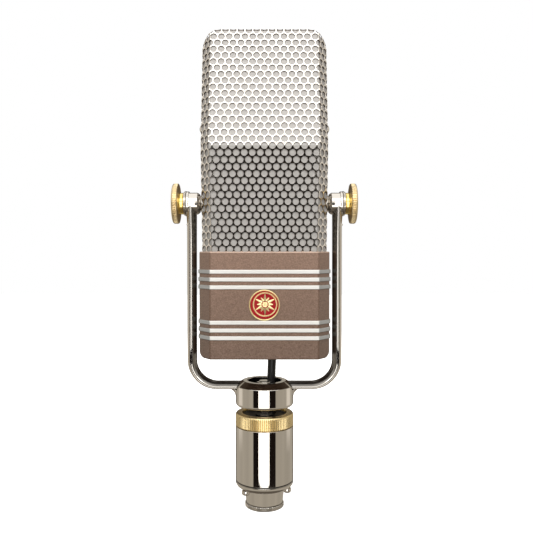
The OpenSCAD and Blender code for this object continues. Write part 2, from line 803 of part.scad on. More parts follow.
module trim_bands() {
    color("ivory") for (group = [0, bands_apart], i = [0 : 2])
        translate([0, 0, housing_z + lower_bands + group + i * band_pitch - band_h / 2])
            linear_extrude(band_h) difference() {
                housing_plan(-band_t);
                housing_plan(0);
            }
}

module badge_rim() {
    color("gold") translate([0, -housing_d / 2, badge_z]) rotate([90, 0, 0]) difference() {
        cylinder(d = badge_d, h = badge_t);
        translate([0, 0, -1]) cylinder(d = badge_d - 2.6, h = badge_t + 2);
    }
}

module badge_enamel() {
    color("firebrick") translate([0, -housing_d / 2, badge_z]) rotate([90, 0, 0])
        cylinder(d = badge_d - 2.6 - 2 * fit, h = badge_t - 0.4);
}

// ---- cage ----

// The cage's outline from the front, with its rounded top corners
module cage_outline(inset) {
    r = cage_round - inset;
    x = cage_w / 2 - cage_round;
    z = cage_top - cage_round;
    translate([0, crease_d, 0]) rotate([90, 0, 0]) linear_extrude(2 * crease_d) polygon(concat(
        [[x + r, cage_z - 1]], arc([x, z], r, 0, 90, 12), arc([-x, z], r, 90, 180, 12),
        [[-x - r, cage_z - 1]]));
}

// One level of the cage: a plan laid at its height
module cage_level(z) {
    translate([0, 0, z]) linear_extrude(eps) children();
}

// The cage's plan where it meets the housing, sunk so that it clears the housing's wall up to its top
module cage_foot(inset) {
    sink = (crease_d - housing_d + 2 * cage_inset) / lower_panel_h * cage_seat;
    polygon(plan(housing_w, housing_d - sink, front_w, side_w - sink, cage_inset + inset));
}

// The cage's plan where it is d deep
module cage_plan(d, inset) {
    polygon(plan(cage_w, d, cage_front_w, d - 2 * bevel_d, inset));
}

module cage_solid(inset) {
    intersection() {
        hull() {
            cage_level(cage_z - (inset > 0 ? 1 : 0)) cage_foot(inset);
            cage_level(crease_z) cage_plan(crease_d, inset);
            cage_level(cage_top) cage_plan(cage_top_d, inset);
        }
        cage_outline(inset);
    }
}

module cage_skin(outer, inner, side) {
    difference() {
        cage_solid(outer);
        cage_solid(inner);
        translate([-cage_w, side < 0 ? 0 : -2 * crease_d, cage_z - 5])
            cube([2 * cage_w, 2 * crease_d, cage_top]);
        translate([-cage_w, -crease_d, cage_z - 5]) cube([2 * cage_w, 2 * crease_d, 5]);
        both_sides() {
            pivot_round(spacer_d + 2 * gap, rail_x, cage_w);
            translate([rail_x, 0, cage_screw_z]) rotate([0, 90, 0]) cylinder(d = frame_screw_d + 4 * fit, h = cage_w);
        }
    }
}

module front_grille() {
    color("lightgray") cage_skin(0, grille_t, -1);
}

module rear_grille() {
    color("lightgray") cage_skin(0, grille_t, 1);
}

module front_screen() {
    color("gray") cage_skin(grille_t, grille_t + screen_t, -1);
}

module rear_screen() {
    color("gray") cage_skin(grille_t, grille_t + screen_t, 1);
}

module cage_screws() {
    color("gainsboro") both_sides() translate([cage_r, 0, cage_screw_z]) rotate([0, -90, 0])
        screw(frame_screw_d, cage_r - rail_x + 1.5, cage_head_d, cage_head_h);
}

// ---- motor ----

module magnet_block() {
    color("darkgray") translate([-magnet_w / 4, -magnet_d / 2, cage_z])
        cube([magnet_w / 2, magnet_d, block_h]);
}

module magnet() {
    leg_x = magnet_w / 2 - magnet_leg;
    color("dimgray") difference() {
        translate([-magnet_w / 2, -magnet_d / 2, magnet_z])
            cube([magnet_w, magnet_d, pole_top - magnet_z]);
        translate([-leg_x, -magnet_d, magnet_z + magnet_leg])
            cube([2 * leg_x, 2 * magnet_d, pole_top]);
    }
}

module pole_pieces() {
    tip_x = ribbon_w / 2 + ribbon_space;
    leg_x = magnet_w / 2 - magnet_leg;
    color("darkgray") both_sides() translate([0, 0, pole_z]) linear_extrude(pole_l)
        polygon([[tip_x, -2], [leg_x, -magnet_d / 2 + 2], [leg_x, magnet_d / 2 - 2], [tip_x, 2]]);
}

// The ribbon: folded between the clamps, flat in them
module ribbon() {
    fold = 0.5;
    n = floor((pole_l - 4) / fold_pitch);
    zs = [for (i = [0 : n]) ribbon_z + (i - n / 2) * fold_pitch];
    mid = concat([[0, pole_z - clamp_l]], [for (i = [0 : n]) [i == 0 || i == n ? 0 : (i % 2 == 0 ? fold : -fold), zs[i]]],
        [[0, pole_top + clamp_l]]);
    m = len(mid);
    color("whitesmoke") translate([ribbon_w / 2, 0, 0]) rotate([0, -90, 0]) linear_extrude(ribbon_w)
        polygon(concat([for (i = [0 : m - 1]) [mid[i][1], mid[i][0] - ribbon_half_t]],
            [for (i = [m - 1 : -1 : 0]) [mid[i][1], mid[i][0] + ribbon_half_t]]));
}

// One copy above the poles and one below, in a frame whose z = 0 is the poles' end
module at_clamps() {
    translate([0, 0, pole_top]) children();
    translate([0, 0, pole_z]) mirror([0, 0, 1]) children();
}

module clamp_holes() {
    reach = insulator_t + 2 * clamp_t;
    for (x = [-clamp_screw_x, clamp_screw_x]) translate([x, reach, clamp_l / 2])
        rotate([90, 0, 0]) cylinder(d = clamp_screw_d + 2 * fit, h = 2 * reach);
}

module clamp_insulators() {
    color("saddlebrown") at_clamps() difference() {
        translate([-insulator_w / 2, ribbon_half_t, 0]) cube([insulator_w, insulator_t, clamp_l]);
        clamp_holes();
    }
}

module ribbon_clamps() {
    color("gold") at_clamps() difference() {
        translate([-clamp_w / 2, -ribbon_half_t - clamp_t, 1]) cube([clamp_w, clamp_t, clamp_l - 2]);
        clamp_holes();
    }
}

module clamp_screws() {
    color("gold") at_clamps() for (x = [-clamp_screw_x, clamp_screw_x])
        translate([x, -ribbon_half_t - clamp_t, clamp_l / 2]) rotate([-90, 0, 0])
            screw(clamp_screw_d, insulator_t, 2 * clamp_screw_d, 0.7 * clamp_screw_d);
}

module ribbon_wires() {
    color("khaki") {
        cord(TOP_WIRE, wire_d, 8);
        cord(LOW_WIRE, wire_d, 8);
    }
}

// ---- transformer and terminals in the housing ----

module transformer_bracket() {
    color("gray") translate([core_x - 3, -core_d / 2 + 2, housing_floor])
        cube([core_w + 6, core_d - 4, core_z - housing_floor]);
}

module transformer_core() {
    leg = core_w / 6;
    color("dimgray") translate([core_x, -core_d / 2, core_z]) difference() {
        cube([core_w, core_d, core_h]);
        for (x = [leg, core_w / 2 + leg]) translate([x, -1, leg])
            cube([core_w / 2 - 2 * leg, core_d + 2, core_h - 2 * leg]);
    }
}

module transformer_coil() {
    leg = core_w / 6;
    color("khaki") translate([core_x + core_w / 2, 0, core_z + leg]) difference() {
        translate([-2 * leg, -core_d / 2 - 2, 0]) cube([4 * leg, core_d + 4, core_h - 2 * leg]);
        translate([-leg, -core_d / 2, -1]) cube([2 * leg, core_d, core_h]);
    }
}

module board_posts() {
    color("gold") for (y = [-post_y, post_y]) translate([post_x, y, housing_floor]) cylinder(d = 5, h = post_h);
}

module head_board() {
    color("saddlebrown") translate([board_x[0], -board_y, post_top])
        cube([board_x[1] - board_x[0], 2 * board_y, board_t]);
}

module board_lugs() {
    color("gold") for (i = [0 : 2]) translate([12 + 8 * i, -6, post_top + board_t]) {
        cylinder(d = 5, h = 2);
        cylinder(d = 2.4, h = 6);
    }
}

module head_gland() {
    c = HEAD_LEAD[5];
    color("black") translate([c[0], c[1], housing_z]) difference() {
        union() {
            translate([0, 0, -1.6]) cylinder(d = lead_d + 8, h = 1.6);
            cylinder(d = lead_d + 5 - 2 * fit, h = housing_wall);
        }
        translate([0, 0, -3]) cylinder(d = lead_d + 0.5, h = housing_wall + 6);
    }
}

module head_lead() {
    color("black") cord(HEAD_LEAD, lead_d, 12);
}

stand_nut();
stand_clip();
mount_cap();
mount_cylinder();
cap_screws();
cable_gland();
gland_nut();
outlet_board();
outlet_lugs();
lower_cushion();
upper_cushion();
cushion_washer();
lock_ring();
isolator_stud();
stud_nuts();
stud_washers();
yoke_fork();
yoke_bushes();
lead_grommet();
mount_lead();
left_washers();
left_thumb_nut();
right_washers();
right_thumb_nut();
pivot_studs();
pivot_spacers();
side_rails();
rail_screws();
deck_plate();
deck_screws();
tie_rods();
lower_housing();
housing_screws();
trim_bands();
badge_rim();
badge_enamel();
front_grille();
rear_grille();
front_screen();
rear_screen();
cage_screws();
magnet_block();
magnet();
pole_pieces();
ribbon();
clamp_insulators();
ribbon_clamps();
clamp_screws();
ribbon_wires();
transformer_bracket();
transformer_core();
transformer_coil();
board_posts();
head_board();
board_lugs();
head_gland();
head_lead();
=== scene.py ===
import math

import bpy
from mathutils import Matrix, Vector
from mathutils.bvhtree import BVHTree


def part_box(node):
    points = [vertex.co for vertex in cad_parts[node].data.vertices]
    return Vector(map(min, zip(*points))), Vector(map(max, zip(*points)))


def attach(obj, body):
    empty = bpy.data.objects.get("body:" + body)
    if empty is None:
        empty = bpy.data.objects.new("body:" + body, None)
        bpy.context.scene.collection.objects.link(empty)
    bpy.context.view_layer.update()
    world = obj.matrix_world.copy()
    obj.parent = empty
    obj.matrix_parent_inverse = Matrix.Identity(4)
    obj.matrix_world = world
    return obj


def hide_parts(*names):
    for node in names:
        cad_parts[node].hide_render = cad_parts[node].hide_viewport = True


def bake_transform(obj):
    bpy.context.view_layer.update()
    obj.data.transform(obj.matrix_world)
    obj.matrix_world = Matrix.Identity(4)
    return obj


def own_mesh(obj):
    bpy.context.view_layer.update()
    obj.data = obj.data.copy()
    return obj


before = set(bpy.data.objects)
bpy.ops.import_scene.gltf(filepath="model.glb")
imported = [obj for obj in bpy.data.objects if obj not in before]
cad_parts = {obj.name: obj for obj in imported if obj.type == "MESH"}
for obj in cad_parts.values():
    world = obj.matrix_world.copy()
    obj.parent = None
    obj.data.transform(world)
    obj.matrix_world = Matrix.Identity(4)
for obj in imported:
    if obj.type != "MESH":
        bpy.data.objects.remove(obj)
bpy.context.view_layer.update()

mm = 0.001

# ---- The camera ----
# It stands level with the top of the housing, a little right of the microphone's middle, and looks
# slightly down at it from 615 mm in front of the axis.
W = H = 533
L = max(W, H)
camera_distance = 0.615
camera_height = 0.2432
camera_right = 0.0019
camera_tilt = math.radians(1.34)
lens = 43.7
sensor_width = 36.0
shift_x = 0.0
shift_y = 0.0

scene = bpy.context.scene
camera_data = bpy.data.cameras.new("camera")
camera_data.lens = lens
camera_data.sensor_width = sensor_width
camera_data.sensor_fit = "AUTO"
camera_data.shift_x = shift_x
camera_data.shift_y = shift_y
camera_data.clip_start = 0.01
camera = bpy.data.objects.new("camera", camera_data)
camera.location = (camera_right, -camera_distance, camera_height)
camera.rotation_euler = (math.pi / 2 - camera_tilt, 0, 0)
scene.collection.objects.link(camera)
scene.camera = camera
bpy.context.view_layer.update()

# The places of the object's edges and features in the photograph's frame, in pixels
image_points = {
    "left_edge": (171.2, None),
    "right_edge": (358.9, None),
    "top_edge": (None, 30.0),
    "bottom_edge": (None, 514.7),
    "left_thumb_nut": (177.0, 202.9),
    "right_thumb_nut": (353.1, 202.9),
    "left_cage_screw": (201.0, 129.3),
    "right_cage_screw": (329.4, 129.3),
    "crease_middle": (264.6, 146.4),
    "housing_top_middle": (264.6, 250.3),
    "badge_middle": (265.0, 304.5),
    "left_fairing_pin": (187.5, 224.5),
    "right_fairing_pin": (343.8, 224.8),
    "lock_ring_middle": (264.3, 426.4),
    "cap_seam_middle": (264.3, 489.0),
}


# ---- Stand nut ----
# The swivel nut at the bottom takes the stand's thread; its flange has a diamond knurl between two
# chamfers. It is turned from brass, polished and plated with warm nickel, which mirrors the room
# with a faint unevenness from the buffing wheel.
class Value:
    """A shader value; Python's operators on it add their Math nodes."""

    def __init__(self, nodes, socket):
        self.nodes = nodes
        self.socket = socket

    def __add__(self, other):
        return self.nodes.maths("ADD", self, other)

    __radd__ = __add__

    def __sub__(self, other):
        return self.nodes.maths("SUBTRACT", self, other)

    def __rsub__(self, other):
        return self.nodes.maths("SUBTRACT", other, self)

    def __mul__(self, other):
        return self.nodes.maths("MULTIPLY", self, other)

    __rmul__ = __mul__

    def __truediv__(self, other):
        return self.nodes.maths("DIVIDE", self, other)

    def __rtruediv__(self, other):
        return self.nodes.maths("DIVIDE", other, self)


class Nodes:
    """The nodes of a material or of the world."""

    def __init__(self, tree):
        self.tree = tree

    def feed(self, socket, value):
        if isinstance(value, Value):
            self.tree.links.new(value.socket, socket)
        else:
            socket.default_value = value

    def node(self, kind, settings, inputs, output=0):
        """A node of a type: its settings are set first, then its sockets are given values or links."""
        made = self.tree.nodes.new(kind)
        for name, value in settings.items():
            setattr(made, name, value)
        for name, value in inputs.items():
            self.feed(made.inputs[name], value)
        return Value(self, made.outputs[output])

    def maths(self, operation, first, second=0.0):
        return self.node("ShaderNodeMath", {"operation": operation}, {0: first, 1: second})

    def mix(self, share, low, high):
        """A colour between two, by a value from 0 to 1."""
        colors = {"Factor": share, "A": low, "B": high}
        return self.node("ShaderNodeMix", {"data_type": "RGBA"}, colors, 2)


class Finish(Nodes):
    """A material: its Principled shader, and the nodes that feed it."""

    def __init__(self, name, settings):
        self.slot = name
        self.material = bpy.data.materials.new("finish_" + name)
        self.material.use_nodes = True
        super().__init__(self.material.node_tree)
        self.shader = self.tree.nodes["Principled BSDF"]
        self.set(settings)

    def set(self, settings):
        for name, value in settings.items():
            self.feed(self.shader.inputs[name], value)

    def place(self):
        """The piece's own coordinates, in metres."""
        return self.node("ShaderNodeTexCoord", {}, {}, "Object")

    def marked(self):
        """The share of the second colour and gloss that mark() gave the mesh."""
        return self.node("ShaderNodeAttribute", {"attribute_name": "other"}, {}, "Fac")

    def noise(self, size, detail=2.0):
        """Cloudy noise whose lumps are about that size."""
        inputs = {"Vector": self.place(), "Scale": 1 / size, "Detail": detail}
        return self.node("ShaderNodeTexNoise", {}, inputs)

    def bump(self, height, strength, distance):
        inputs = {"Height": height, "Strength": strength, "Distance": distance}
        self.set({"Normal": self.node("ShaderNodeBump", {}, inputs, "Normal")})

    def tint(self, share, low, high):
        """A base colour between two, by a value from 0 to 1."""
        self.set({"Base Color": self.mix(share, low, high)})


def rgb(red, green, blue):
    return (red, green, blue, 1.0)


def plated(name, color, second, roughness, uneven=0.02, second_roughness=None):
    """Polished plate, whose gloss wanders a little and whose reflections long buffing waves bend.
    The second colour comes in clouds or, if it has its own gloss, where a mesh is marked."""
    finish = Finish(name, {"Metallic": 1.0})
    share = finish.noise(14 * mm)
    gloss = share * uneven + finish.noise(1.1 * mm, 3.0) * uneven + roughness
    if second_roughness:
        share = finish.marked()
        gloss = gloss + share * (second_roughness - roughness)
    finish.tint(share, color, second)
    finish.set({"Roughness": gloss})
    finish.bump(finish.noise(9 * mm, 1.0), 0.05, 0.3 * mm)
    return finish


def mark(piece, chosen, share=1.0):
    """Marks the vertices that a test picks for the finish's second colour and gloss, or a share of it:
    painted shade or a painted highlight on most pieces, a change of finish on the brass ones.
    """
    kept = piece.data.attributes.new("other", "FLOAT", "POINT")
    for vertex, value in zip(piece.data.vertices, kept.data):
        value.value = share * float(chosen(vertex.co))


def deselect():
    bpy.ops.object.select_all(action="DESELECT")


def modified(piece, kind, **settings):
    """Adds one modifier to the active mesh and applies it."""
    made = piece.modifiers.new(kind.lower(), kind)
    for name, value in settings.items():
        setattr(made, name, value)
    bpy.ops.object.modifier_apply(modifier=made.name)


def finished(name, finish, body, nodes, smooth=32, weighted=True):
    """Ends a piece: its name, soft shading up to an angle, its finish, and what it stands for."""
    piece = bpy.context.object
    bpy.ops.object.transform_apply(location=True, rotation=True, scale=True)
    bpy.ops.object.shade_smooth_by_angle(angle=math.radians(smooth))
    if weighted:
        modified(piece, "WEIGHTED_NORMAL", keep_sharp=True)
    piece.name = piece.data.name = name
    piece.data.materials.clear()
    piece.data.materials.append(finish.material)
    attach(piece, body)
    if nodes:
        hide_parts(*nodes)
    return piece


def edit():
    """Opens the active mesh for editing, with all of it selected."""
    bpy.ops.object.mode_set(mode="EDIT")
    bpy.ops.mesh.select_all(action="SELECT")


def sewn():
    """Merges the edited mesh's double points, turns its faces outwards and ends the editing."""
    bpy.ops.mesh.select_all(action="SELECT")
    bpy.ops.mesh.remove_doubles(threshold=0.005 * mm)
    bpy.ops.mesh.normals_make_consistent(inside=False)
    bpy.ops.object.mode_set(mode="OBJECT")


def turned(profile, steps=96, centre=(0, 0, 0), axis="Z", side=1):
    """A turned shape: (radius, along) points are drawn from one vertex and spun round the axis."""
    def point(radius, along):
        places = {"X": (side * along, 0, radius), "Y": (radius, side * along, 0), "Z": (radius, 0, along)}
        return Vector(places[axis]) + Vector(centre)

    deselect()
    bpy.ops.mesh.primitive_plane_add(size=mm)
    edit()
    bpy.ops.mesh.merge(type="CENTER")
    last = point(*profile[0])
    bpy.ops.transform.translate(value=last)
    for radius, along in profile[1:]:
        here = point(radius, along)
        bpy.ops.mesh.extrude_vertices_move(TRANSFORM_OT_translate={"value": here - last})
        last = here
    bpy.ops.mesh.select_all(action="SELECT")
    ways = {"X": (1, 0, 0), "Y": (0, 1, 0), "Z": (0, 0, 1)}
    bpy.ops.mesh.spin(steps=steps, angle=2 * math.pi, center=centre, axis=ways[axis])
    sewn()
    return bpy.context.object


def arc(centre, radius, start, end, points=6):
    """Points of a round edge in a profile, by angles in degrees."""
    angles = [math.radians(start + (end - start) * i / points) for i in range(points + 1)]
    return [(centre[0] + radius * math.cos(a), centre[1] + radius * math.sin(a)) for a in angles]


def knurled(piece, radius, depth, teeth, rows=(0,), centre=(0, 0, 0), axis="Z", share=2):
    """Presses a knurl into the rim of a turned piece spun in share x teeth steps: one edge of each
    tooth sinks. With rows, the heights of the rim's rings, the sunk ones alternate into diamonds."""
    across = (0, 1) if axis == "Z" else (1, 2)
    for vertex in piece.data.vertices:
        away = vertex.co - Vector(centre)
        first, second = [away[i] for i in across]
        reach = math.hypot(first, second)
        if reach < radius - 0.02 * mm:
            continue
        row = min(range(len(rows)), key=lambda i: abs(rows[i] - away.z))
        if (round(math.atan2(second, first) * share * teeth / 2 / math.pi) + row) % share == 0:
            for i in across:
                vertex.co[i] -= away[i] * depth / reach


# Nickel's near-black second colour is painted shade and dark reflection where a piece is marked: the
# cap's seam, the collar's well, the fork's inner side, and partly the nut's knurl.
nickel = plated("nickel", rgb(0.74, 0.70, 0.64), rgb(0.03, 0.028, 0.026), 0.03, second_roughness=0.35)
nut_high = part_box("stand_nut")[1]
cap_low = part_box("mount_cap")[0]
flange_r = nut_high.x
flange_top = cap_low.z - 0.3 * mm
thread_r = 7.95 * mm
lead_in = 0.8 * mm
sleeve_r = 12 * mm
rim_teeth = 56
rim_depth = 0.65 * mm
rim_from = 0.7 * mm
rim_step = 1 * mm
rim_rows = [rim_from + rim_step * i for i in range(4)]
stand_nut = turned([(thread_r + lead_in, 0), (flange_r - 1.3 * mm, 0), (flange_r - 0.5 * mm, 0.45 * mm)]
                   + [(flange_r, z) for z in rim_rows]
                   + [(flange_r - 0.5 * mm, 4.05 * mm), (flange_r - 1.2 * mm, flange_top),
                      (sleeve_r, flange_top), (sleeve_r, nut_high.z), (thread_r, nut_high.z),
                      (thread_r, lead_in), (thread_r + lead_in, 0)], steps=2 * rim_teeth)
knurled(stand_nut, flange_r, rim_depth, rim_teeth, rim_rows)
# The knurled band is rougher and painted half way to near black: partly the knurl's duller finish, partly
# painted shade in its grooves.
mark(stand_nut, lambda co: flange_r - 1.4 * mm < math.hypot(co.x, co.y) < flange_r - 0.1 * mm, 0.5)
finished("stand_nut_knurled", nickel, "stand", ["stand_nut"], 20)

# ---- Mount: the bottom cap ----
# A turned and plated cap closes the cylinder; its tapered neck holds the swivel nut and its rounded
# shoulder meets the cylinder in a fine seam, whose edge is painted near black as shade.
mount_r = 27.5 * mm
seam_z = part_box("mount_cylinder")[0].z
shoulder_z = cap_low.z + 14.6 * mm
shoulder_r = 5 * mm
neck_foot_r = 17.6 * mm
neck_top_r = 18.8 * mm
neck_edge = 0.4 * mm
neck_fillet = 0.9 * mm
seam_edge = 0.35 * mm
bearing_r = sleeve_r + 0.1 * mm
bearing_z = cap_low.z + 7 * mm
pocket_r = 14 * mm
cap_inner_r = mount_r - 5 * mm
pocket_z = shoulder_z + 2 * mm
mount_cap = turned(
    [(bearing_r, cap_low.z), (neck_foot_r - neck_edge, cap_low.z)]
    + arc((neck_foot_r - neck_edge, cap_low.z + neck_edge), neck_edge, -60, 0, 3)
    + arc((neck_top_r + neck_fillet, shoulder_z - neck_fillet), neck_fillet, 175, 90, 5)
    + arc((mount_r - shoulder_r, shoulder_z + shoulder_r), shoulder_r, -90, 0, 12)
    + arc((mount_r - seam_edge, seam_z - seam_edge), seam_edge, 0, 90, 3)
    + [(cap_inner_r, seam_z), (cap_inner_r, pocket_z), (pocket_r, pocket_z),
       (pocket_r, bearing_z), (bearing_r, bearing_z), (bearing_r, cap_low.z)], steps=128)
# Painted shade: the cap's outer edge at the seam is painted near black.
mark(mount_cap, lambda co: co.z > seam_z - 0.4 * mm and math.hypot(co.x, co.y) > mount_r - 2 * mm)
finished("mount_cap_shell", nickel, "mount", ["mount_cap"], 40)


# ---- Mount: the cap's three screws ----
# Domed heads, turned and plated as the cap is; their screws go up through its shoulder and hold it
# to the cylinder's floor.
def pick(*pieces):
    """Selects these pieces alone and makes the first of them active."""
    deselect()
    for piece in pieces:
        piece.select_set(True)
    bpy.context.view_layer.objects.active = pieces[0]


def joined(pieces):
    """Joins pieces into the first of them."""
    pick(*pieces)
    bpy.ops.object.join()


screw_circle_r = 22.8 * mm
head_r = 3.8 * mm
head_h = 4 * mm
dome_r = 1.7 * mm
screw_angles = (-50, 70, 190)
screw_heads = []
for angle in screw_angles:
    centre = Vector((math.sin(math.radians(angle)), -math.cos(math.radians(angle)), 0)) * screw_circle_r
    screw_heads.append(turned(
        [(0, shoulder_z), (head_r - 0.2 * mm, shoulder_z), (head_r, shoulder_z - 0.3 * mm)]
        + arc((head_r - dome_r, shoulder_z - head_h + dome_r), dome_r, 0, -75, 6)
        + [(0, shoulder_z - head_h)], steps=48, centre=centre))
joined(screw_heads)
finished("cap_screw_heads", nickel, "mount", ["cap_screws"], 40)

# ---- Mount: the cylinder ----
# The nickel-plated tube that holds the rubber cushions; its top is cut down to the thread that the
# lock ring runs on.
ring_low, ring_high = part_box("lock_ring")
thread_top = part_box("cushion_washer")[0].z
tube_top = ring_low.z - 0.3 * mm
tube_r = 22.2 * mm
tube_edge = 0.3 * mm
crest_r = mount_r - 2.3 * mm
root_r = mount_r - 2.8 * mm
turn_count = 7
threads = []
for i in range(turn_count):
    z = tube_top + 1 * mm + i * (thread_top - tube_top - 1.6 * mm) / turn_count
    threads += [(crest_r, z), (root_r, z + 0.6 * mm)]
turned([(tube_r, seam_z), (mount_r - 0.4 * mm, seam_z)]
       + arc((mount_r - tube_edge, seam_z + 0.35 * mm), tube_edge, -80, 0, 3)
       + arc((mount_r - tube_edge, tube_top - tube_edge), tube_edge, 0, 90, 3)
       + [(crest_r, tube_top)] + threads
       + [(mount_r - 2.6 * mm, thread_top), (tube_r, thread_top), (tube_r, seam_z)], steps=128)
finished("mount_cylinder_shell", nickel, "mount", ["mount_cylinder"], 40)

# ---- Lock ring ----
# A brass ring with a fine straight knurl screws down on the cushions' clamp washer; its lip is
# turned smooth and lacquered.
brass = plated("brass", rgb(1.0, 0.76, 0.26), rgb(0.80, 0.645, 0.385), 0.10, 0.04, 0.28)
ring_r = ring_high.x
ring_hole_r = 20.5 * mm
ring_thread_r = mount_r - 2.2 * mm
ring_lip_z = ring_high.z - 1.9 * mm
ring_middle = 82.5 * mm
ring_teeth = 96
ring_share = 4
ring_knurl = 0.4 * mm
lock_ring = turned(
    [(ring_thread_r, ring_low.z), (ring_r - 0.9 * mm, ring_low.z),
     (ring_r - 0.5 * mm, ring_low.z + 0.3 * mm), (ring_r, ring_low.z + 0.8 * mm),
     (ring_r, ring_high.z - 1.7 * mm)]
    + arc((ring_r - 1.9 * mm, ring_high.z - 1.6 * mm), 1.6 * mm, 25, 90, 4)
    + [(ring_hole_r + 0.8 * mm, ring_high.z), (ring_hole_r, ring_high.z - 0.7 * mm),
       (ring_hole_r, ring_lip_z), (ring_thread_r, ring_lip_z), (ring_thread_r, ring_low.z)],
    steps=ring_share * ring_teeth)
knurled(lock_ring, ring_r, ring_knurl, ring_teeth, share=ring_share)
mark(lock_ring, lambda co: math.hypot(co.x, co.y) > ring_hole_r + 0.3 * mm, 0.76)
finished("lock_ring_knurled", brass, "lock_ring", ["lock_ring"], 25)


# ---- Yoke: the bar and the arms ----
# The fork that carries the head is one piece, forged and nickel plated. Its rounded section is drawn
# down the arm, bent round the lower corner and run into the collar's wall, and thins on the way.
def edit_all(tool, **settings):
    """One modelling tool on the whole of the active mesh."""
    edit()
    tool(**settings)
    bpy.ops.object.mode_set(mode="OBJECT")


def extruded(way, times=1):
    """Draws what is selected in edit mode along a way, in even steps."""
    step = Vector(way) / times
    for _ in range(times):
        bpy.ops.mesh.extrude_region_move(TRANSFORM_OT_translate={"value": step})


def face_out():
    """Turns the active mesh's faces outwards."""
    edit_all(bpy.ops.mesh.normals_make_consistent, inside=False)


pivot_z = 288.4 * mm
arm_x = 68.8 * mm
arm_w = 16 * mm
arm_t = 8.4 * mm
arm_top = pivot_z - 2 * mm
arm_ridge = 0.9 * mm
nose_power = 1.9
swell = 0.24
swell_z = 250 * mm
swell_long = 28 * mm
bar_t = 6.2 * mm
bar_z = 116 * mm
bar_end = 18.5 * mm
ridge_drop = 0.34
corner_r = 24.3 * mm
corner_x = arm_x - corner_r
corner_z = bar_z + corner_r
deselect()
bpy.ops.mesh.primitive_circle_add(vertices=60, radius=arm_t / 2, location=(arm_x, 0, arm_top))
bpy.ops.object.transform_apply(location=True)
arm = bpy.context.object
for vertex in arm.data.vertices:
    if abs(vertex.co.y) > 0.01 * mm:
        lean = vertex.co.x - arm_x - arm_ridge
        across = abs(lean) / (arm_t / 2 - math.copysign(arm_ridge, lean))
        nose = max(1 - across ** nose_power, 0) ** (1 / nose_power) * arm_t / 2
        vertex.co.y = math.copysign((arm_w - arm_t) / 2 + nose, vertex.co.y)
edit()
extruded((0, 0, corner_z - arm_top), 24)
bpy.ops.mesh.spin(steps=30, angle=math.pi / 2, center=(corner_x, 0, corner_z), axis=(0, -1, 0))
extruded((bar_end - corner_x, 0, 0), 4)
bpy.ops.mesh.edge_face_add()
bpy.ops.object.mode_set(mode="OBJECT")


def round_corner(x, z):
    """How far round the corner a point lies, from 0 on the arm to 1 on the bar."""
    return min(math.atan2(corner_z - z, max(x - corner_x, 0)) / (math.pi / 2), 1)


for vertex in arm.data.vertices:
    x, y, z = vertex.co
    if z > corner_z - 0.01 * mm:
        vertex.co.y *= 1 + swell * min(max((z - swell_z) / swell_long, 0), 1) ** 2
        continue
    share = round_corner(x, z)
    thick = arm_t + (bar_t - arm_t) * share
    away = Vector((max(x - corner_x, 0), z - corner_z))
    outward = (away.length - corner_r) / (arm_t / 2)
    outward += ridge_drop * share * (1 - outward * outward)
    away *= (corner_r + outward * thick / 2) / away.length
    vertex.co.x = min(x, corner_x) + away.x
    vertex.co.z = corner_z + away.y
    if abs(y) > 0.01 * mm:
        edge = (abs(y) - (arm_w - arm_t) / 2) / (arm_t / 2)
        vertex.co.y = math.copysign((arm_w - thick) / 2 + edge * thick / 2, y)
modified(arm, "MIRROR")


# Painted dark reflection: the fork's inner side is painted darker, as the dark housing beside it would
# mirror in it.
arm_painted_shade = 0.6
bar_painted_shade = 0.85


def painted_inner_shade(co):
    """How dark the fork's inner side is painted, as a painted reflection of the dark housing beside it:
    less down the arm than along the bar.
    """
    x = abs(co.x)
    edge = arm_ridge - 1.5 * mm
    if co.z > corner_z:
        return arm_painted_shade * (x < arm_x + edge)
    share = round_corner(x, co.z)
    away = math.hypot(max(x - corner_x, 0), co.z - corner_z)
    dark = arm_painted_shade + (bar_painted_shade - arm_painted_shade) * share
    return dark * (away < corner_r + edge + 0.8 * mm * share)


mark(arm, painted_inner_shade)
face_out()
fork_parts = [arm]

# ---- Yoke: the collar and its fillets ----
# The turned collar in the middle of the bar, with its well, floor and bright lower edge, and a hole
# in the floor for the lead; soft fillets run from it into the bar.
collar_floor = 97.5 * mm
collar_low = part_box("yoke_fork")[0].z
collar_top = 120.7 * mm
collar_wall_r = mount_r - 5.5 * mm
lower_edge = 3.5 * mm
well_r = 16 * mm
well_z = 110 * mm
rim_r = 20 * mm
soft_edge = 0.6 * mm
rim_edge = 0.95 * mm
stud_hole_r = 5.15 * mm
lead_hole_r = 4.2 * mm
lead_x, lead_y = 6.5 * mm, 9.5 * mm
collar = turned(
    [(stud_hole_r, collar_floor), (collar_wall_r, collar_floor), (collar_wall_r, collar_low)]
    + arc((mount_r - lower_edge, collar_low + lower_edge), lower_edge, -90, 0, 10)
    + arc((mount_r - soft_edge, bar_z - 0.3 * mm), soft_edge, 0, 55, 4)
    + arc((rim_r + 0.5 * mm, collar_top - rim_edge), rim_edge, 57, 92, 5)
    + arc((well_r + soft_edge, collar_top - soft_edge), soft_edge, 92, 180, 5)
    + [(well_r, well_z), (stud_hole_r, well_z), (stud_hole_r, collar_floor)], steps=160)
fork_parts.append(collar)
deselect()
bpy.ops.mesh.primitive_cylinder_add(vertices=48, radius=lead_hole_r, depth=30 * mm,
                                    location=(lead_x, lead_y, well_z - 6 * mm))
drill = bpy.context.object
pick(collar)
modified(collar, "BOOLEAN", object=drill)
bpy.data.objects.remove(drill)
# Painted shade: the inside of the well is painted near black.
mark(collar, lambda co: co.z > collar_floor + mm and math.hypot(co.x, co.y) < well_r + 0.02 * mm)
fillet_r = 8.5 * mm
fillet_z = bar_z - bar_t / 2 - fillet_r
fillet_half = arm_w / 2 - 1.6 * mm
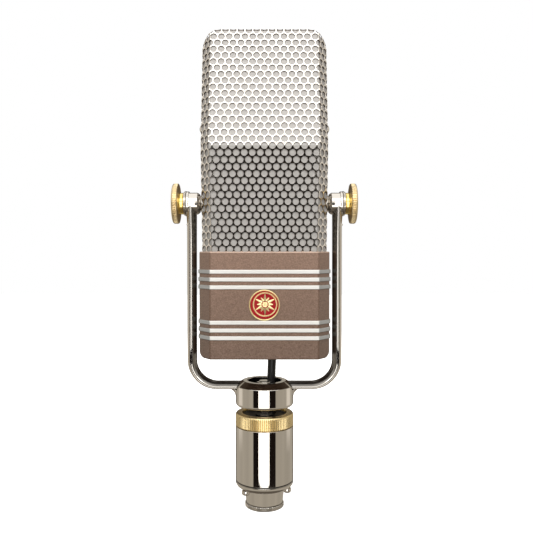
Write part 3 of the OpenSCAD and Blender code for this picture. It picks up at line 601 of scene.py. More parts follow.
for side in (-1, 1):
    deselect()
    bpy.ops.mesh.primitive_grid_add(x_subdivisions=12, y_subdivisions=24, size=2)
    fillet = bpy.context.object
    for vertex in fillet.data.vertices:
        bend = math.radians(135 + 50 * vertex.co.x)
        round_at = math.radians(90 * vertex.co.y)
        away = fillet_r + 3 * mm * (1 - math.cos(round_at))
        vertex.co = (side * (mount_r + fillet_r + away * math.cos(bend)),
                     fillet_half * math.sin(round_at), fillet_z + away * math.sin(bend))
    face_out()
    middle_face = fillet.data.polygons[len(fillet.data.polygons) // 2 + 6]
    if middle_face.normal.x * side < 0:
        edit_all(bpy.ops.mesh.flip_normals)
    fork_parts.append(fillet)


# ---- Yoke: the bosses ----
# Round bosses on the arms' ends carry the pivot bushes; a pad with a tapering tail is forged on
# the outer face of each.
def on_pivot(profile, side, steps=96):
    """A shape turned round the pivots, on the left (-1) or the right (1)."""
    return turned(profile, steps=steps, centre=(0, 0, pivot_z), axis="X", side=side)


boss_x = 61 * mm
boss_r = 10.3 * mm
pad_x = 71.2 * mm
pad_high = 73.6 * mm
pad_r = 11.5 * mm
bush_r = 7.1 * mm
tail_r = 2 * mm
tail_z = pivot_z - 24 * mm
tail_top = pivot_z - 4 * mm
for side in (-1, 1):
    fork_parts.append(on_pivot(
        [(bush_r, boss_x), (boss_r - 1.7 * mm, boss_x), (boss_r - 1.5 * mm, boss_x + 0.1 * mm),
         (boss_r - 0.15 * mm, boss_x + 2 * mm), (boss_r, boss_x + 2.25 * mm),
         (boss_r, pad_x + 0.1 * mm), (bush_r, pad_x + 0.1 * mm), (bush_r, boss_x)], side))
    fork_parts.append(on_pivot(
        [(bush_r, pad_x), (pad_r - 0.4 * mm, pad_x)]
        + arc((pad_r - 0.4 * mm, pad_x + 0.4 * mm), 0.4 * mm, -90, 0, 3)
        + arc((pad_r - 0.5 * mm, pad_high - 0.5 * mm), 0.5 * mm, 0, 90, 4)
        + [(bush_r, pad_high), (bush_r, pad_x)], side))
    tail = on_pivot(
        [(bush_r, pad_x - mm), (boss_r, pad_x - mm), (boss_r, pad_high - 0.3 * mm),
         (boss_r - 0.3 * mm, pad_high - 0.05 * mm), (bush_r, pad_high - 0.05 * mm),
         (bush_r, pad_x - mm)], side, 64)
    edit()
    bpy.ops.mesh.primitive_uv_sphere_add(segments=24, ring_count=16, radius=tail_r,
                                         location=(side * (arm_x + arm_t / 2 - tail_r), 0, tail_z))
    bpy.ops.mesh.select_all(action="SELECT")
    bpy.ops.mesh.convex_hull()
    bpy.ops.mesh.select_all(action="SELECT")
    bpy.ops.mesh.bisect(plane_co=(0, 0, tail_top), plane_no=(0, 0, 1), clear_outer=True)
    bpy.ops.object.mode_set(mode="OBJECT")
    fork_parts.append(tail)
joined(fork_parts)
fork = finished("yoke_fork_plated", nickel, "yoke", ["yoke_fork"], 34)


# ---- Fairing pins ----
# A small bright pin closes each tail; it is pressed in and plated with the yoke. It is set where
# the photograph shows its spot.
def ray_through(x, y):
    """The camera's place and the way to an image point."""
    turn = camera.matrix_world.to_quaternion()
    way = Vector((x - W / 2 + shift_x * L, H / 2 - y + shift_y * L, -L * lens / sensor_width))
    return camera.location.copy(), (turn @ way).normalized()


def surface_at(point, carrier):
    """The place where the ray through an image point meets the piece that carries it."""
    start, way = ray_through(*point)
    tree = BVHTree.FromObject(carrier, bpy.context.evaluated_depsgraph_get())
    place = tree.ray_cast(start, way)[0]
    if place is None:
        place = tree.find_nearest(start + way * camera_distance)[0]
    return place


pin_r = 0.9 * mm
for name in ("left_fairing_pin", "right_fairing_pin"):
    deselect()
    bpy.ops.mesh.primitive_uv_sphere_add(segments=24, ring_count=12, radius=pin_r,
                                         location=surface_at(image_points[name], fork))
    finished(name, nickel, "yoke", [], 60)

# ---- Lead to the head ----
# The black rubber lead comes up through the collar's well and goes in through a rubber gland under
# the housing.
rubber = Finish("rubber", {"Base Color": rgb(0.012, 0.011, 0.010), "Roughness": 0.5})
rubber.bump(rubber.noise(0.8 * mm), 0.15, 0.1 * mm)
cable = Finish("lead", {"Base Color": rgb(0.010, 0.009, 0.009), "Roughness": 0.34})
cable.bump(cable.noise(2 * mm), 0.1, 0.1 * mm)
lead_r = 4.05 * mm
lead_way = [(6.5, 9.5, 104), (6.5, 9.5, 110), (6.55, 9.5, 116), (6.6, 9.5, 120.7), (6.7, 9.45, 124.7),
            (6.8, 9.4, 128.7), (6.95, 9.35, 132.7), (7.1, 9.3, 136.7), (7.2, 9.25, 140.7),
            (7.3, 9.2, 144.7), (7.4, 9.2, 147), (8, 9.2, 152), (9, 9, 157), (9, 9, 163)]
deselect()
bpy.ops.mesh.primitive_circle_add(vertices=32, radius=lead_r, location=Vector(lead_way[0]) * mm,
                                  fill_type="NGON")
edit()
for here, there in zip(lead_way, lead_way[1:]):
    extruded((Vector(there) - Vector(here)) * mm)
bpy.ops.object.mode_set(mode="OBJECT")
face_out()
lead = bpy.context.object
bpy.ops.object.transform_apply(location=True)
bpy.ops.object.shade_smooth_by_angle(angle=math.radians(40))
lead.name = lead.data.name = "head_lead_smooth"
lead.data.materials.append(cable.material)
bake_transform(lead)
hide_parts("head_lead")

# ---- Pivot spacers and washers ----
# Turned and plated: a round-edged spacer keeps the yoke off the cage on each side, and two stacked
# washers, the smaller outside, lie between the yoke and each thumb nut.
sides = ((-1, "left"), (1, "right"))
bore_r = 4.1 * mm
washer_t = 1.1 * mm
washer_edge = 0.4 * mm
inner_washer_r = 11.6 * mm
inner_washer_x = 73.9 * mm
outer_washer_r = 10.9 * mm
outer_washer_x = 75.05 * mm
spacer_r = 7.6 * mm
spacer_core_r = 5.9 * mm
spacer_from = 55.8 * mm
spacer_to = 60.7 * mm
spacer_middle = (spacer_from + spacer_to) / 2


def washer(outer, start, side):
    """One round-edged washer, from its outer radius and the place of its inner face."""
    crown = outer - 0.1 * mm
    end = start + washer_t
    return on_pivot([(bore_r, start), (outer, start)]
                    + arc((crown, start + washer_edge), washer_edge, -80, 0, 3)
                    + arc((crown, end - washer_edge), washer_edge, 0, 80, 3)
                    + [(bore_r, end), (bore_r, start)], side)


for side, name in sides:
    inner_washer = washer(inner_washer_r, inner_washer_x, side)
    outer_washer = washer(outer_washer_r, outer_washer_x, side)
    joined([outer_washer, inner_washer])
    finished(name + "_washers_turned", nickel, name + "_washer", [name + "_washers"], 34)
joined([on_pivot([(bore_r, spacer_from), (spacer_r, spacer_from)]
                 + arc((spacer_core_r, spacer_middle), spacer_middle - spacer_from, -60, 60, 8)
                 + [(spacer_r, spacer_to), (bore_r, spacer_to), (bore_r, spacer_from)], side, 64)
        for side in (-1, 1)])
finished("pivot_spacers_turned", nickel, "head", ["pivot_spacers"], 40)

# ---- Thumb nuts ----
# Turned brass nuts, lacquered, with a hollowed inner face and a straight knurl round the rim; they
# run on the pivot studs and clamp the head's tilt.
knob_teeth = 72
knob_share = 4
knob_r = 19 * mm
knob_start = 76.45 * mm
knob_middle = 82.6 * mm
knob_neck_r = 10.2 * mm
knob_neck_end = 79.2 * mm
knob_rim_from = 81.9 * mm
knob_rim_to = 84.6 * mm
recess_r = 8 * mm
recess_x = 86.2 * mm
knob_knurl = 0.6 * mm
for side, name in sides:
    knob = on_pivot(
        [(bore_r, knob_start), (knob_neck_r - 0.4 * mm, knob_start),
         (knob_neck_r, knob_start + 0.4 * mm), (knob_neck_r, knob_neck_end)]
        + arc((11.2 * mm, 78.75 * mm), 1 * mm, 160, 70, 4)[2:]
        + [(17.9 * mm, 80.9 * mm)]
        + arc((18.1 * mm, 81.6 * mm), 0.7 * mm, -70, -20, 3)
        + [(knob_r, knob_rim_from), (knob_r, knob_rim_to)]
        + arc((17.3 * mm, 84.75 * mm), 1.65 * mm, 8, 84, 6)
        + [(recess_r + 1 * mm, recess_x + 0.25 * mm), (recess_r, recess_x), (0, recess_x)],
        side, knob_share * knob_teeth)
    knurled(knob, knob_r, knob_knurl, knob_teeth, centre=(0, 0, pivot_z), axis="X", share=knob_share)
    mark(knob, lambda co: math.hypot(co.y, co.z - pivot_z) > 11 * mm)
    finished(name + "_thumb_nut_knurled", brass, name + "_knob", [name + "_thumb_nut"], 25)


# ---- Housing ----
# A steel shell, folded to a bevelled plan with rounded lower corners and enamelled in a warm brown
# paint that carries fine metal flake. Its colour is painted lighter towards the top, as light falling
# from above, and a painted highlight runs along its upper lip.
plan_width = 120.6 * mm
plan_depth = 60 * mm
plan_flat = 98.8 * mm
plan_side = 32 * mm
fold_angle = 25
rim_angle = 60


def plan_wall(outset, z, height, floored=False):
    """A wall that stands on the housing's bevelled plan, with or without a floor."""
    turn = math.atan2(plan_depth - plan_side, plan_width - plan_flat)
    a = plan_flat / 2 + outset * math.tan(turn / 2)
    b = plan_side / 2 + outset * math.tan(math.pi / 4 - turn / 2)
    x, y = plan_width / 2 + outset, plan_depth / 2 + outset
    deselect()
    bpy.ops.mesh.primitive_circle_add(vertices=8)
    made = bpy.context.object
    corners = [(a, -y), (x, -b), (x, b), (a, y), (-a, y), (-x, b), (-x, -b), (-a, -y)]
    for vertex, corner in zip(made.data.vertices, corners):
        vertex.co = (*corner, z)
    if floored:
        edit_all(bpy.ops.mesh.edge_face_add)
    edit_all(bpy.ops.mesh.extrude_region_move, TRANSFORM_OT_translate={"value": (0, 0, height)})
    face_out()
    return made


def rounded(piece, width, segments, angle):
    """Rounds the active mesh's edges that turn by more than an angle in degrees."""
    modified(piece, "BEVEL", width=width, segments=segments, limit_method="ANGLE",
             angle_limit=math.radians(angle))


def hollowed(piece, thickness):
    """Gives the active mesh a wall, inwards from its faces."""
    modified(piece, "SOLIDIFY", thickness=thickness, offset=-1, use_even_offset=True)


def cut(place, facing, clear=True, fill=False, near=0.1 * mm):
    """Cuts the active mesh by a plane; what lies on the side it faces goes."""
    edit_all(bpy.ops.mesh.bisect, plane_co=place, plane_no=facing, clear_outer=clear, use_fill=fill,
             threshold=near)


def cut_round(corner, radius, right, up, cuts, **settings):
    """Rounds a corner of the active mesh, seen from the front, by cuts round its centre."""
    for i in range(cuts):
        lean = math.radians(90 * (i + 0.5) / cuts)
        facing = Vector((right * math.cos(lean), 0, up * math.sin(lean)))
        cut(Vector((corner[0], 0, corner[1])) + facing * radius, facing, **settings)


housing_low, housing_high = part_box("lower_housing")
housing_h = housing_high.z - housing_low.z
wall = 2.3 * mm
lower_r = 6.5 * mm
fold_r = 1.3 * mm
lip_z = housing_high.z - 2.4 * mm
lip_foot = lip_z - 2 * mm
lip_edge = 1.1 * mm
lip_highlight_h = 1 * mm
paint = Finish("paint", {"Metallic": 0.35, "Roughness": 0.42, "Coat Weight": 0.25, "Coat Roughness": 0.2})
flake = paint.noise(1.1 * mm, 3.0)
drift = paint.noise(5 * mm, 3.0)
height = paint.node("ShaderNodeSeparateXYZ", {}, {"Vector": paint.place()}, "Z")
# Painted light: the paint grows lighter towards the top, as light falling from above.
painted_top_light = (height - housing_low.z) / housing_h
share = (flake - 0.5) * 1.5 + (drift - 0.5) * 0.3 + painted_top_light * 0.5 + 0.22
coat = paint.mix(share, rgb(0.112, 0.070, 0.049), rgb(0.290, 0.185, 0.135))
paint.tint(paint.marked(), coat, rgb(0.55, 0.40, 0.32))
paint.bump(flake, 0.3, 0.1 * mm)
housing = plan_wall(0, housing_low.z, housing_h, floored=True)
rounded(housing, fold_r, 5, fold_angle)
for side in (-1, 1):
    corner = (side * (housing_high.x - lower_r), housing_low.z + lower_r)
    cut_round(corner, lower_r, side, -1, 10, fill=True)
cut((0, 0, lip_z), (0, 0, 1))
hollowed(housing, wall)
lip = plan_wall(0, lip_foot, housing_high.z - lip_foot)
rounded(lip, fold_r, 5, fold_angle)
hollowed(lip, wall)
rounded(lip, lip_edge, 5, rim_angle)
cut((0, 0, lip_z), (0, 0, -1))
joined([housing, lip])
# Painted highlight: a lighter colour along the lip's rounded upper edge.
mark(housing, lambda co: co.z > housing_high.z - lip_highlight_h)
finished("housing_painted", paint, "head", ["lower_housing"], 28)

# ---- Trim bands ----
# Six bright metal bands run round the housing, three above the badge and three below; they are
# folded as it is and pressed on over the paint.
trim = Finish("trim", {"Metallic": 0.1})
trim.set({"Roughness": trim.noise(3 * mm) * 0.08 + 0.2})
trim.tint(trim.marked(), rgb(0.80, 0.79, 0.76), rgb(0.36, 0.365, 0.355))
band_h = 3.6 * mm
band_t = 1 * mm
band_pitch = 7.05 * mm
band_fold = 1.2 * mm
band_edge = 0.55 * mm
group_middles = (171.45 * mm, 217.65 * mm)
bands = []
for group_middle in group_middles:
    for i in (-1, 0, 1):
        band = plan_wall(band_t, group_middle + i * band_pitch - band_h / 2, band_h)
        rounded(band, band_fold, 4, fold_angle)
        hollowed(band, band_t + 0.2 * mm)
        rounded(band, band_edge, 4, rim_angle)
        bands.append(band)
joined(bands)
# Painted shade: the bands' bevels and sides, which face away from the light, are painted darker.
mark(bands[0], lambda co: abs(co.x) > plan_flat / 2 + 0.3 * mm)
finished("trim_bands_rounded", trim, "head", ["trim_bands"], 34)


# ---- Badge ----
# A plain round badge: a gilt rim, a dish of red enamel, and a gilt rosette of rays in a ring, which
# carries no letters or mark.
def on_badge(profile, centre, steps=96):
    """A shape turned round an axis that runs out of the housing's front."""
    return turned(profile, steps=steps, centre=centre, axis="Y", side=-1)


badge_z = 194.55 * mm
badge_r = 14.1 * mm
badge_front = 31.3 * mm
badge_rim = 1.3 * mm
badge_edge = 0.6 * mm
dish_r = 12.75 * mm
dish_front = 30.9 * mm
front_y = housing_high.y
gold = plated("gold", rgb(1.0, 0.86, 0.48), rgb(0.97, 0.78, 0.38), 0.30)
enamel = Finish("enamel", {"Roughness": 0.22, "Coat Weight": 0.8})
enamel.tint(enamel.noise(2.5 * mm), rgb(0.40, 0.010, 0.014), rgb(0.30, 0.012, 0.018))
on_badge([(badge_r - badge_rim, front_y), (badge_r, front_y)]
         + arc((badge_r - badge_edge, badge_front - badge_edge), badge_edge, 0, 180, 8)
         + [(badge_r - badge_rim, front_y)], (0, 0, badge_z))
finished("badge_rim_turned", gold, "head", ["badge_rim"], 40)
on_badge([(0, front_y), (dish_r, front_y), (dish_r, dish_front - 0.2 * mm),
          (dish_r - 0.25 * mm, dish_front), (0, dish_front)], (0, 0, badge_z))
enamel_dish = finished("badge_enamel_dish", enamel, "head", ["badge_enamel"], 30)
middle = surface_at(image_points["badge_middle"], enamel_dish)
sunk = -0.1 * mm
raised = 0.3 * mm
hoop_inner_r = 9.8 * mm
hoop_outer_r = 11.2 * mm
hub_r = 2.5 * mm
rosette = [on_badge([(hoop_inner_r, sunk), (hoop_outer_r, sunk), (hoop_outer_r - raised, raised),
                     (hoop_inner_r + raised, raised), (hoop_inner_r, sunk)], middle),
           on_badge([(0, sunk), (hub_r, sunk), (hub_r - 0.1 * mm, raised), (1.2 * mm, 0.5 * mm),
                     (0, 0.55 * mm)], middle, 48)]
ray_count = 12
ray_foot = 3.2 * mm
long_ray = 9.4 * mm
short_ray = 7.2 * mm
ray_flat = 0.35
for i in range(ray_count):
    ray_tip = short_ray if i % 2 else long_ray
    deselect()
    bpy.ops.mesh.primitive_cone_add(vertices=4, radius1=1.5 * mm, radius2=0.3 * mm,
                                    depth=ray_tip - ray_foot, location=(0, 0, (ray_tip + ray_foot) / 2))
    ray = bpy.context.object
    bpy.ops.object.transform_apply(location=True)
    for vertex in ray.data.vertices:
        vertex.co.y *= ray_flat
    turn = Matrix.Rotation(2 * math.pi * i / ray_count, 4, "Y")
    ray.data.transform(Matrix.Translation(middle) @ turn)
    rosette.append(ray)
joined(rosette)
finished("badge_rosette", gold, "head", [], 30)

# ---- Cage: the perforated grilles ----
# Two pressed steel shells, perforated in staggered rows and nickel plated. One cell with its round
# hole is repeated flat, then folded over the front, the bevel, the side and the top.
# The grille's dark second colour is painted shade round each hole: inside its upper edge and a little on
# its rim.
grille = plated("grille", rgb(0.80, 0.77, 0.72), rgb(0.13, 0.095, 0.075), 0.05, second_roughness=0.12)
grille_low, grille_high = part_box("front_grille")
crease_z = 337 * mm
crease_y = 41 * mm
cage_half = grille_high.x
cage_top = grille_high.z
cage_foot = grille_low.z
cage_round = 17.5 * mm
front_half = 49.5 * mm
bevel_deep = 12 * mm
bevel_long = math.hypot(cage_half - front_half, bevel_deep)
upper_rise = cage_top - crease_z
upper_back = 24 * mm
upper_lean = math.atan2(upper_back, upper_rise)
upper_long = upper_rise / math.cos(upper_lean)
lower_drop = 94 * mm
lower_back = 13.6 * mm
lower_lean = math.atan2(lower_back, lower_drop)
narrowing = 1.4 * mm / lower_drop
deepening = 0.4 * mm / lower_drop
sheet_t = 0.8 * mm
hole_r = 3.06 * mm
hole_rim = 0.18 * mm
pitch = 7.14 * mm
row_pitch = pitch * math.sqrt(3) / 2
hair = 0.01 * mm
fine_cut = 0.002 * mm


def painted_hole_shade(co):
    """The painted shade round a hole: darkest inside its upper edge, where the wall faces down, a little
    on its rim.
    """
    away = math.hypot(co.x, co.y) - hole_r
    if away > 0.5 * hole_rim:
        return 0.3 if away < 1.5 * hole_rim else 0
    return 1 if co.y > 0.3 * hole_r else 0.4


def widened(times):
    """Widens what is selected in edit mode, round the hole's middle."""
    bpy.ops.transform.resize(value=(times, times, 1), center_override=(0, 0, 0))


def perforated(columns, pairs, first_row):
    """A flat perforated sheet: x along the rows, y up from the crease, z out of the sheet."""
    deselect()
    bpy.ops.mesh.primitive_circle_add(vertices=12, radius=hole_r)
    cell = bpy.context.object
    edit()
    bpy.ops.transform.translate(value=(0, 0, -sheet_t))
    extruded((0, 0, sheet_t - hole_rim))
    extruded((0, 0, hole_rim))
    widened((hole_r + hole_rim) / hole_r)
    extruded((0, 0, 0))
    widened(pitch / (hole_r + hole_rim))
    bpy.ops.mesh.select_all(action="DESELECT")
    bpy.ops.mesh.primitive_circle_add(vertices=12, radius=hole_r)
    bpy.ops.transform.translate(value=(0, 0, -sheet_t))
    extruded((0, 0, 0))
    widened(2)
    sewn()
    for vertex in cell.data.vertices:
        away = Vector((vertex.co.x, vertex.co.y))
        if away.length > hole_r + 2 * hole_rim:
            turn = round(math.degrees(math.atan2(away.y, away.x)) / 30)
            away *= (pitch / 2 if turn % 2 == 0 else pitch / math.sqrt(3)) / away.length
            vertex.co.x, vertex.co.y = away
    mark(cell, painted_hole_shade)
    if sum(face.normal.z for face in cell.data.polygons if face.center.z > -hair) < 0:
        edit_all(bpy.ops.mesh.flip_normals)
    edit_all(bpy.ops.mesh.duplicate_move, TRANSFORM_OT_translate={"value": (pitch / 2, row_pitch, 0)})
    for count, step in ((columns, (pitch, 0, 0)), (pairs, (0, 2 * row_pitch, 0))):
        modified(cell, "ARRAY", count=count, use_relative_offset=False, use_constant_offset=True,
                 constant_offset_displace=step, use_merge_vertices=True, merge_threshold=hair)
    edit_all(bpy.ops.mesh.remove_doubles, threshold=hair)
    for vertex in cell.data.vertices:
        vertex.co.x -= pitch
        vertex.co.y += first_row * row_pitch
    return cell


def cut_sheet(place, facing, clear=True):
    """A cut so fine that it leaves the holes' edges where they are."""
    cut(place, facing, clear, near=fine_cut)


def folded(u, v, depth):
    """Where a point of the flat sheet lies on the cage, at a depth under its outer face."""
    lean = upper_lean if v > 0 else -lower_lean
    drop = max(-v * math.cos(lower_lean), 0)
    corner = front_half - drop * narrowing
    depth_in = bevel_deep + drop * deepening
    share = min(max((u - front_half) / bevel_long, 0), 1)
    x = u * corner / front_half if u < front_half else corner + share * (cage_half - corner)
    y = (abs(v) * math.sin(abs(lean)) - crease_y + share * depth_in
         + max(u - front_half - bevel_long, 0))
    z = crease_z + v * math.cos(lean)
    ways = []
    if u <= front_half + hair:
        ways.append((1, 0))
    if -hair < u - front_half < bevel_long + hair:
        ways.append(((cage_half - corner) / bevel_long, depth_in / bevel_long))
    if u >= front_half + bevel_long - hair:
        ways.append((0, 1))
    leans = [upper_lean, -lower_lean] if abs(v) < hair else [lean]
    facings = [Vector((way[1] * math.cos(a), -way[0] * math.cos(a), way[0] * math.sin(a))).normalized()
               for way in ways for a in leans]
    facing = sum(facings, Vector())
    facing *= len(facings) / facing.length_squared
    return Vector((x, y, z)) - facing * depth


# The sheet of the front, the bevel and the side, cut round at its upper corner
sheet = perforated(columns=16, pairs=19, first_row=-18)
cut_sheet((0, 0, 0), (-1, 0, 0))
cut_sheet((front_half, 0, 0), (1, 0, 0), clear=False)
cut_sheet((front_half + bevel_long, 0, 0), (1, 0, 0), clear=False)
for vertex in sheet.data.vertices:
    vertex.co = folded(vertex.co.x, vertex.co.y, -vertex.co.z)
cut_sheet((0, 0, 0), (0, 1, 0))
cut_sheet((0, 0, cage_foot), (0, 0, -1))
arc_x = cage_half - cage_round
arc_z = cage_top - cage_round
arc_long = cage_round * math.pi / 2
cut_round((arc_x, arc_z), cage_round, 1, 1, 12, near=fine_cut)
cut_sheet((0, 0, cage_top), (0, 0, 1))

# The strip over the top, rolled down round the same corner
strip = perforated(columns=13, pairs=4, first_row=16)
strip_back = 17 * mm
cut_sheet((0, 0, 0), (-1, 0, 0))
cut_sheet((arc_x, 0, 0), (1, 0, 0), clear=False)
cut_sheet((arc_x + arc_long, 0, 0), (1, 0, 0))
for vertex in strip.data.vertices:
    u, v, depth = vertex.co.x, vertex.co.y, -vertex.co.z
    turn = min(max((u - arc_x) / cage_round, 0), math.pi / 2)
    facing = Vector((math.sin(turn), 0, math.cos(turn)))
    along = Vector((min(u, arc_x), v - upper_long - strip_back, arc_z))
    vertex.co = along + facing * (cage_round - depth)
cut_sheet((0, 0, 0), (0, 1, 0))
cut_sheet((0, -crease_y, crease_z), (0, -math.cos(upper_lean), math.sin(upper_lean)))
bevel_wide = cage_half - front_half
bevel_facing = (bevel_deep * math.cos(upper_lean), -bevel_wide * math.cos(upper_lean),
                bevel_wide * math.sin(upper_lean))
cut_sheet((front_half, -crease_y, crease_z), bevel_facing)
joined([sheet, strip])
modified(sheet, "MIRROR", use_clip=False, merge_threshold=hair)
pick(sheet)
bpy.ops.object.duplicate()
rear = bpy.context.object
for vertex in rear.data.vertices:
    vertex.co.y *= -1
edit_all(bpy.ops.mesh.flip_normals)
finished("rear_grille_perforated", grille, "head", ["rear_grille"], weighted=False)
pick(sheet)
finished("front_grille_perforated", grille, "head", ["front_grille"], weighted=False)
for shell in (sheet, rear):
    for edge in shell.data.edges:
        if all(abs(shell.data.vertices[v].co.z - crease_z) < 0.06 * mm for v in edge.vertices):
            edge.use_edge_sharp = True

# ---- Cage screws ----
# Domed steel screws, turned and plated, hold the two grilles to the frame's rails, one on each
# side of the cage.
screw_z = 358.6 * mm
screw_r = 4.25 * mm
screw_seat = cage_half - 0.6 * mm
screw_out = 2 * mm
joined([turned(
    [(0, screw_seat), (screw_r - 0.2 * mm, screw_seat),
     (screw_r, cage_half - 0.3 * mm), (screw_r, cage_half + 1.2 * mm)]
    + arc((0, cage_half - 1.4 * mm), 5 * mm, 32, 90, 7)[1:],
    steps=64, centre=(0, 0, screw_z), axis="X", side=side) for side in (-1, 1)])
finished("cage_screw_heads", nickel, "head", ["cage_screws"], 40)

# ---- Screens and inner parts ----
# Behind the perforations lies a fine woven screen; inside are the frame, the ribbon motor and the
# transformer, and the mount's small parts. They keep their CAD meshes and take a finish each.
screen = Finish("screen", {"Metallic": 0.25, "Roughness": 0.5})
across, upward = [screen.node("ShaderNodeTexWave", {"bands_direction": way},
                              {"Vector": screen.place(), "Scale": 0.42 / mm}) for way in "XZ"]
screen.tint(across * 0.75 + upward * 0.25, rgb(0.275, 0.265, 0.255), rgb(0.57, 0.55, 0.53))
screen.bump(across * upward, 0.3, 0.1 * mm)
steel = plated("steel", rgb(0.72, 0.70, 0.67), rgb(0.64, 0.62, 0.60), 0.12, 0.04)
chassis = Finish("chassis", {"Base Color": rgb(0.42, 0.43, 0.44), "Metallic": 0.9, "Roughness": 0.45})
chassis.bump(chassis.noise(1 * mm), 0.1, 0.05 * mm)
iron = Finish("iron", {"Base Color": rgb(0.10, 0.10, 0.11), "Metallic": 0.6, "Roughness": 0.5})
iron.bump(iron.noise(0.7 * mm), 0.2, 0.05 * mm)
foil = Finish("foil", {"Metallic": 1.0, "Roughness": 0.25})
foil.tint(foil.noise(3 * mm, 3.0), rgb(0.90, 0.90, 0.91), rgb(0.80, 0.80, 0.81))
foil.bump(foil.noise(1.5 * mm), 0.15, 0.05 * mm)
board = Finish("board", {"Roughness": 0.5})
board.tint(board.noise(2 * mm, 3.0), rgb(0.20, 0.12, 0.05), rgb(0.13, 0.07, 0.03))
bronze = plated("bronze", rgb(0.72, 0.50, 0.26), rgb(0.62, 0.42, 0.20), 0.3)
copper = plated("copper", rgb(0.86, 0.50, 0.34), rgb(0.78, 0.44, 0.28), 0.28)
finishes = {finish.slot: finish.material for finish in (
    nickel, brass, screen, cable, rubber, steel, chassis, iron, foil, board, bronze, copper)}
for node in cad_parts.values():
    slot = node.data.materials[0].name.split(".")[0]
    if slot in finishes:
        node.data.materials[0] = finishes[slot]

# ---- Rubber cushions ----
# Two thick black rings of cast rubber hold the stud's plate between them, the lower one on the
# cylinder's shelf and the upper one under the clamp washer.
bounce = 1.5 * mm
cushion_edge = 0.6 * mm
for name, held_at in (("lower_cushion", 0), ("upper_cushion", 1)):
    ends = [end.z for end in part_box(name)]
    cushion = bpy.data.objects.new(name + "_cast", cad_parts[name].data.copy())
    scene.collection.objects.link(cushion)
    pick(cushion)
    edit_all(bpy.ops.mesh.remove_doubles, threshold=0.001 * mm)
    edit_all(bpy.ops.mesh.dissolve_limited, angle_limit=math.radians(1))
    rounded(cushion, cushion_edge, 3, 50)
    finished(name + "_cast", rubber, "mount", [name], 40)
    thick = ends[1] - ends[0]
    (thick - bounce) / thick
    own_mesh(cushion)


# ---- Light ----
# A white product studio: a large soft box above and in front, tall ones beside the camera, dark
# flags low in front, warm grey walls round about with a pale window in each side.
def soft_box(name, place, size, power, aim, unseen=()):
    """A white rectangular light, aimed at a place, that the camera and some rays don't see."""
    light = bpy.data.lights.new(name, "AREA")
    light.shape = "RECTANGLE"
    light.size, light.size_y = size
    light.energy = power
    light.color = (1.0, 0.985, 0.96)
    lamp = bpy.data.objects.new(name, light)
    lamp.location = place
    way = Vector(aim) - Vector(place)
    lamp.rotation_euler = way.to_track_quat("-Z", "Y").to_euler()
    for rays in ("camera", *unseen):
        setattr(lamp, "visible_" + rays, False)
    scene.collection.objects.link(lamp)


soft_box("top_front", (0, -0.95, 1.12), (1.3, 0.62), 4.2, (0, 0, 0.36))
soft_box("key", (0, -1.1, 0.70), (0.8, 0.5), 10.0, (0, 0, 0.30), ["glossy"])
soft_box("fill_behind", (0, 1.1, 0.70), (0.8, 0.5), 7.0, (0, 0, 0.30), ["glossy"])
for name, x, z, size, power in (("strip_low", -0.03, -0.1375, (0.60, 0.245), 1.0),
                                ("strip_left", -0.185, 0.26, (0.11, 0.46), 0.42),
                                ("strip_right", 0.185, 0.26, (0.11, 0.46), 0.42)):
    soft_box(name, (x, -0.78, z), size, power, (x, 0, z), ["diffuse"])

world = bpy.data.worlds.new("studio")
world.use_nodes = True
scene.world = world
room = Nodes(world.node_tree)
way_seen = room.node("ShaderNodeTexCoord", {}, {}, "Generated")
right, away, up = [room.node("ShaderNodeSeparateXYZ", {}, {"Vector": way_seen}, axis) for axis in "XYZ"]
elevation = room.maths("ARCSINE", up)
azimuth = room.maths("ABSOLUTE", room.maths("ARCTAN2", right, away * -1.0))


def step_over(value, edge, soft):
    """From 0 to 1 as a value passes an edge, both in degrees."""
    share = (value - math.radians(edge - soft)) / math.radians(2 * soft)
    return room.maths("MINIMUM", 1.0, room.maths("MAXIMUM", 0.0, share))


clouds = room.node("ShaderNodeTexNoise", {}, {"Vector": way_seen, "Scale": 2.2, "Detail": 1.0})
walls = room.mix(clouds, rgb(0.52, 0.475, 0.405), rgb(0.36, 0.33, 0.28))
walls = room.mix(1 - step_over(elevation, -48, 5), walls, rgb(0.13, 0.11, 0.09))
front_sky = step_over(elevation, 9, 3) - step_over(azimuth, 62, 5)
lit = room.maths("MAXIMUM", front_sky, step_over(elevation, 45, 6))
studio = room.mix(lit, walls, rgb(1.25, 1.23, 1.20))
above = step_over(elevation, -21.5, 1)
flags = (1 - step_over(azimuth, 45, 1.5)) * (1 - step_over(elevation, 7, 3)) * above
studio = room.mix(flags, studio, rgb(0.010, 0.007, 0.006))
beside = step_over(azimuth, 98, 5) - step_over(azimuth, 124, 5)
level = step_over(elevation, -16, 1.5) - step_over(elevation, 32, 4)
studio = room.mix(beside * level, studio, rgb(0.82, 0.76, 0.68))
behind = step_over(azimuth, 152, 3) * above * (1 - step_over(elevation, 42, 5))
doorway = room.mix(step_over(azimuth, 177.8, 0.3), rgb(0.045, 0.030, 0.022), rgb(0.40, 0.37, 0.32))
studio = room.mix(behind, studio, doorway)
camera_ray, diffuse_ray = [room.node("ShaderNodeLightPath", {}, {}, ray)
                           for ray in ("Is Camera Ray", "Is Diffuse Ray")]
background = room.tree.nodes["Background"]
room.feed(background.inputs["Color"], room.mix(camera_ray, studio, rgb(1, 1, 1)))
room.feed(background.inputs["Strength"], 1 - diffuse_ray * 0.45)

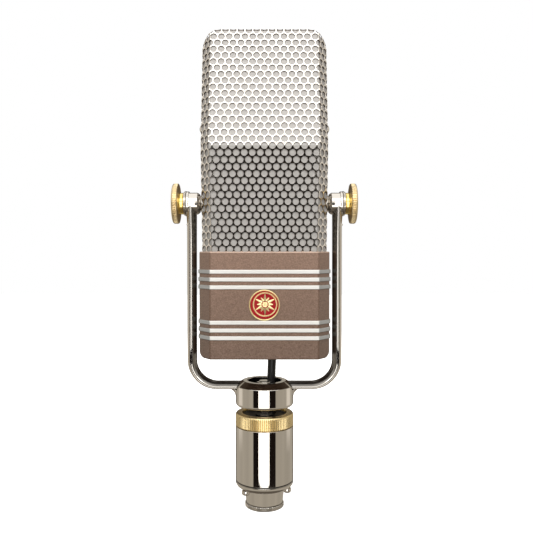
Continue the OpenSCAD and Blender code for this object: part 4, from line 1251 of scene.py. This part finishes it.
# ---- Floor ----
# A plain white table under the stand nut, matt and so bright that its edge doesn't show; it casts
# and mirrors nothing on the microphone.
table = Finish("table", {"Base Color": rgb(0.9, 0.9, 0.9), "Roughness": 0.9,
                         "Emission Color": rgb(1, 1, 1), "Emission Strength": 0.75})
deselect()
bpy.ops.mesh.primitive_plane_add(size=6)
floor = bpy.context.object
floor.name = "table"
floor.data.materials.append(table.material)
floor.visible_glossy = False
floor.visible_diffuse = False
floor.visible_shadow = False
scene.view_settings.view_transform = "Standard"


# ---- How far each thing shows from its image point ----
# Edges are taken from the finished meshes' vertices, features from the places of their parts. The
# two fairing pins alone are measured from a fixed place by each tail's end, about 3 mm below where
# their rays set them.
def seen_at(place):
    """Where a place in the frame shows in the image, in pixels."""
    x, y, z = camera.matrix_world.inverted() @ Vector(place)
    scale = lens / sensor_width * L / -z
    return W / 2 - shift_x * L + x * scale, H / 2 + shift_y * L - y * scale


spots = [seen_at(piece.matrix_world @ vertex.co) for piece in scene.objects
         if piece.type == "MESH" and piece != floor and not piece.hide_render
         for vertex in piece.data.vertices]
shown = {
    "left_edge": (min(spot[0] for spot in spots), None),
    "right_edge": (max(spot[0] for spot in spots), None),
    "top_edge": (None, min(spot[1] for spot in spots)),
    "bottom_edge": (None, max(spot[1] for spot in spots)),
    "crease_middle": seen_at((0, -crease_y, crease_z)),
    "housing_top_middle": seen_at((0, -front_y, housing_high.z)),
    "badge_middle": seen_at((0, -badge_front, badge_z)),
    "lock_ring_middle": seen_at((0, -ring_r, ring_middle)),
    "cap_seam_middle": seen_at((0, -mount_r, seam_z)),
}
tail_x, tail_y, tail_foot = 72.4 * mm, -1.9 * mm, 265 * mm
for side, name in sides:
    shown[name + "_thumb_nut"] = seen_at((side * knob_middle, 0, pivot_z))
    shown[name + "_cage_screw"] = seen_at((side * (cage_half + screw_out), 0, screw_z))
    shown[name + "_fairing_pin"] = seen_at((side * tail_x, tail_y, tail_foot))
for name, point in image_points.items():
    [None if told is None else round(found - told, 2)
                     for told, found in zip(point, shown[name])]
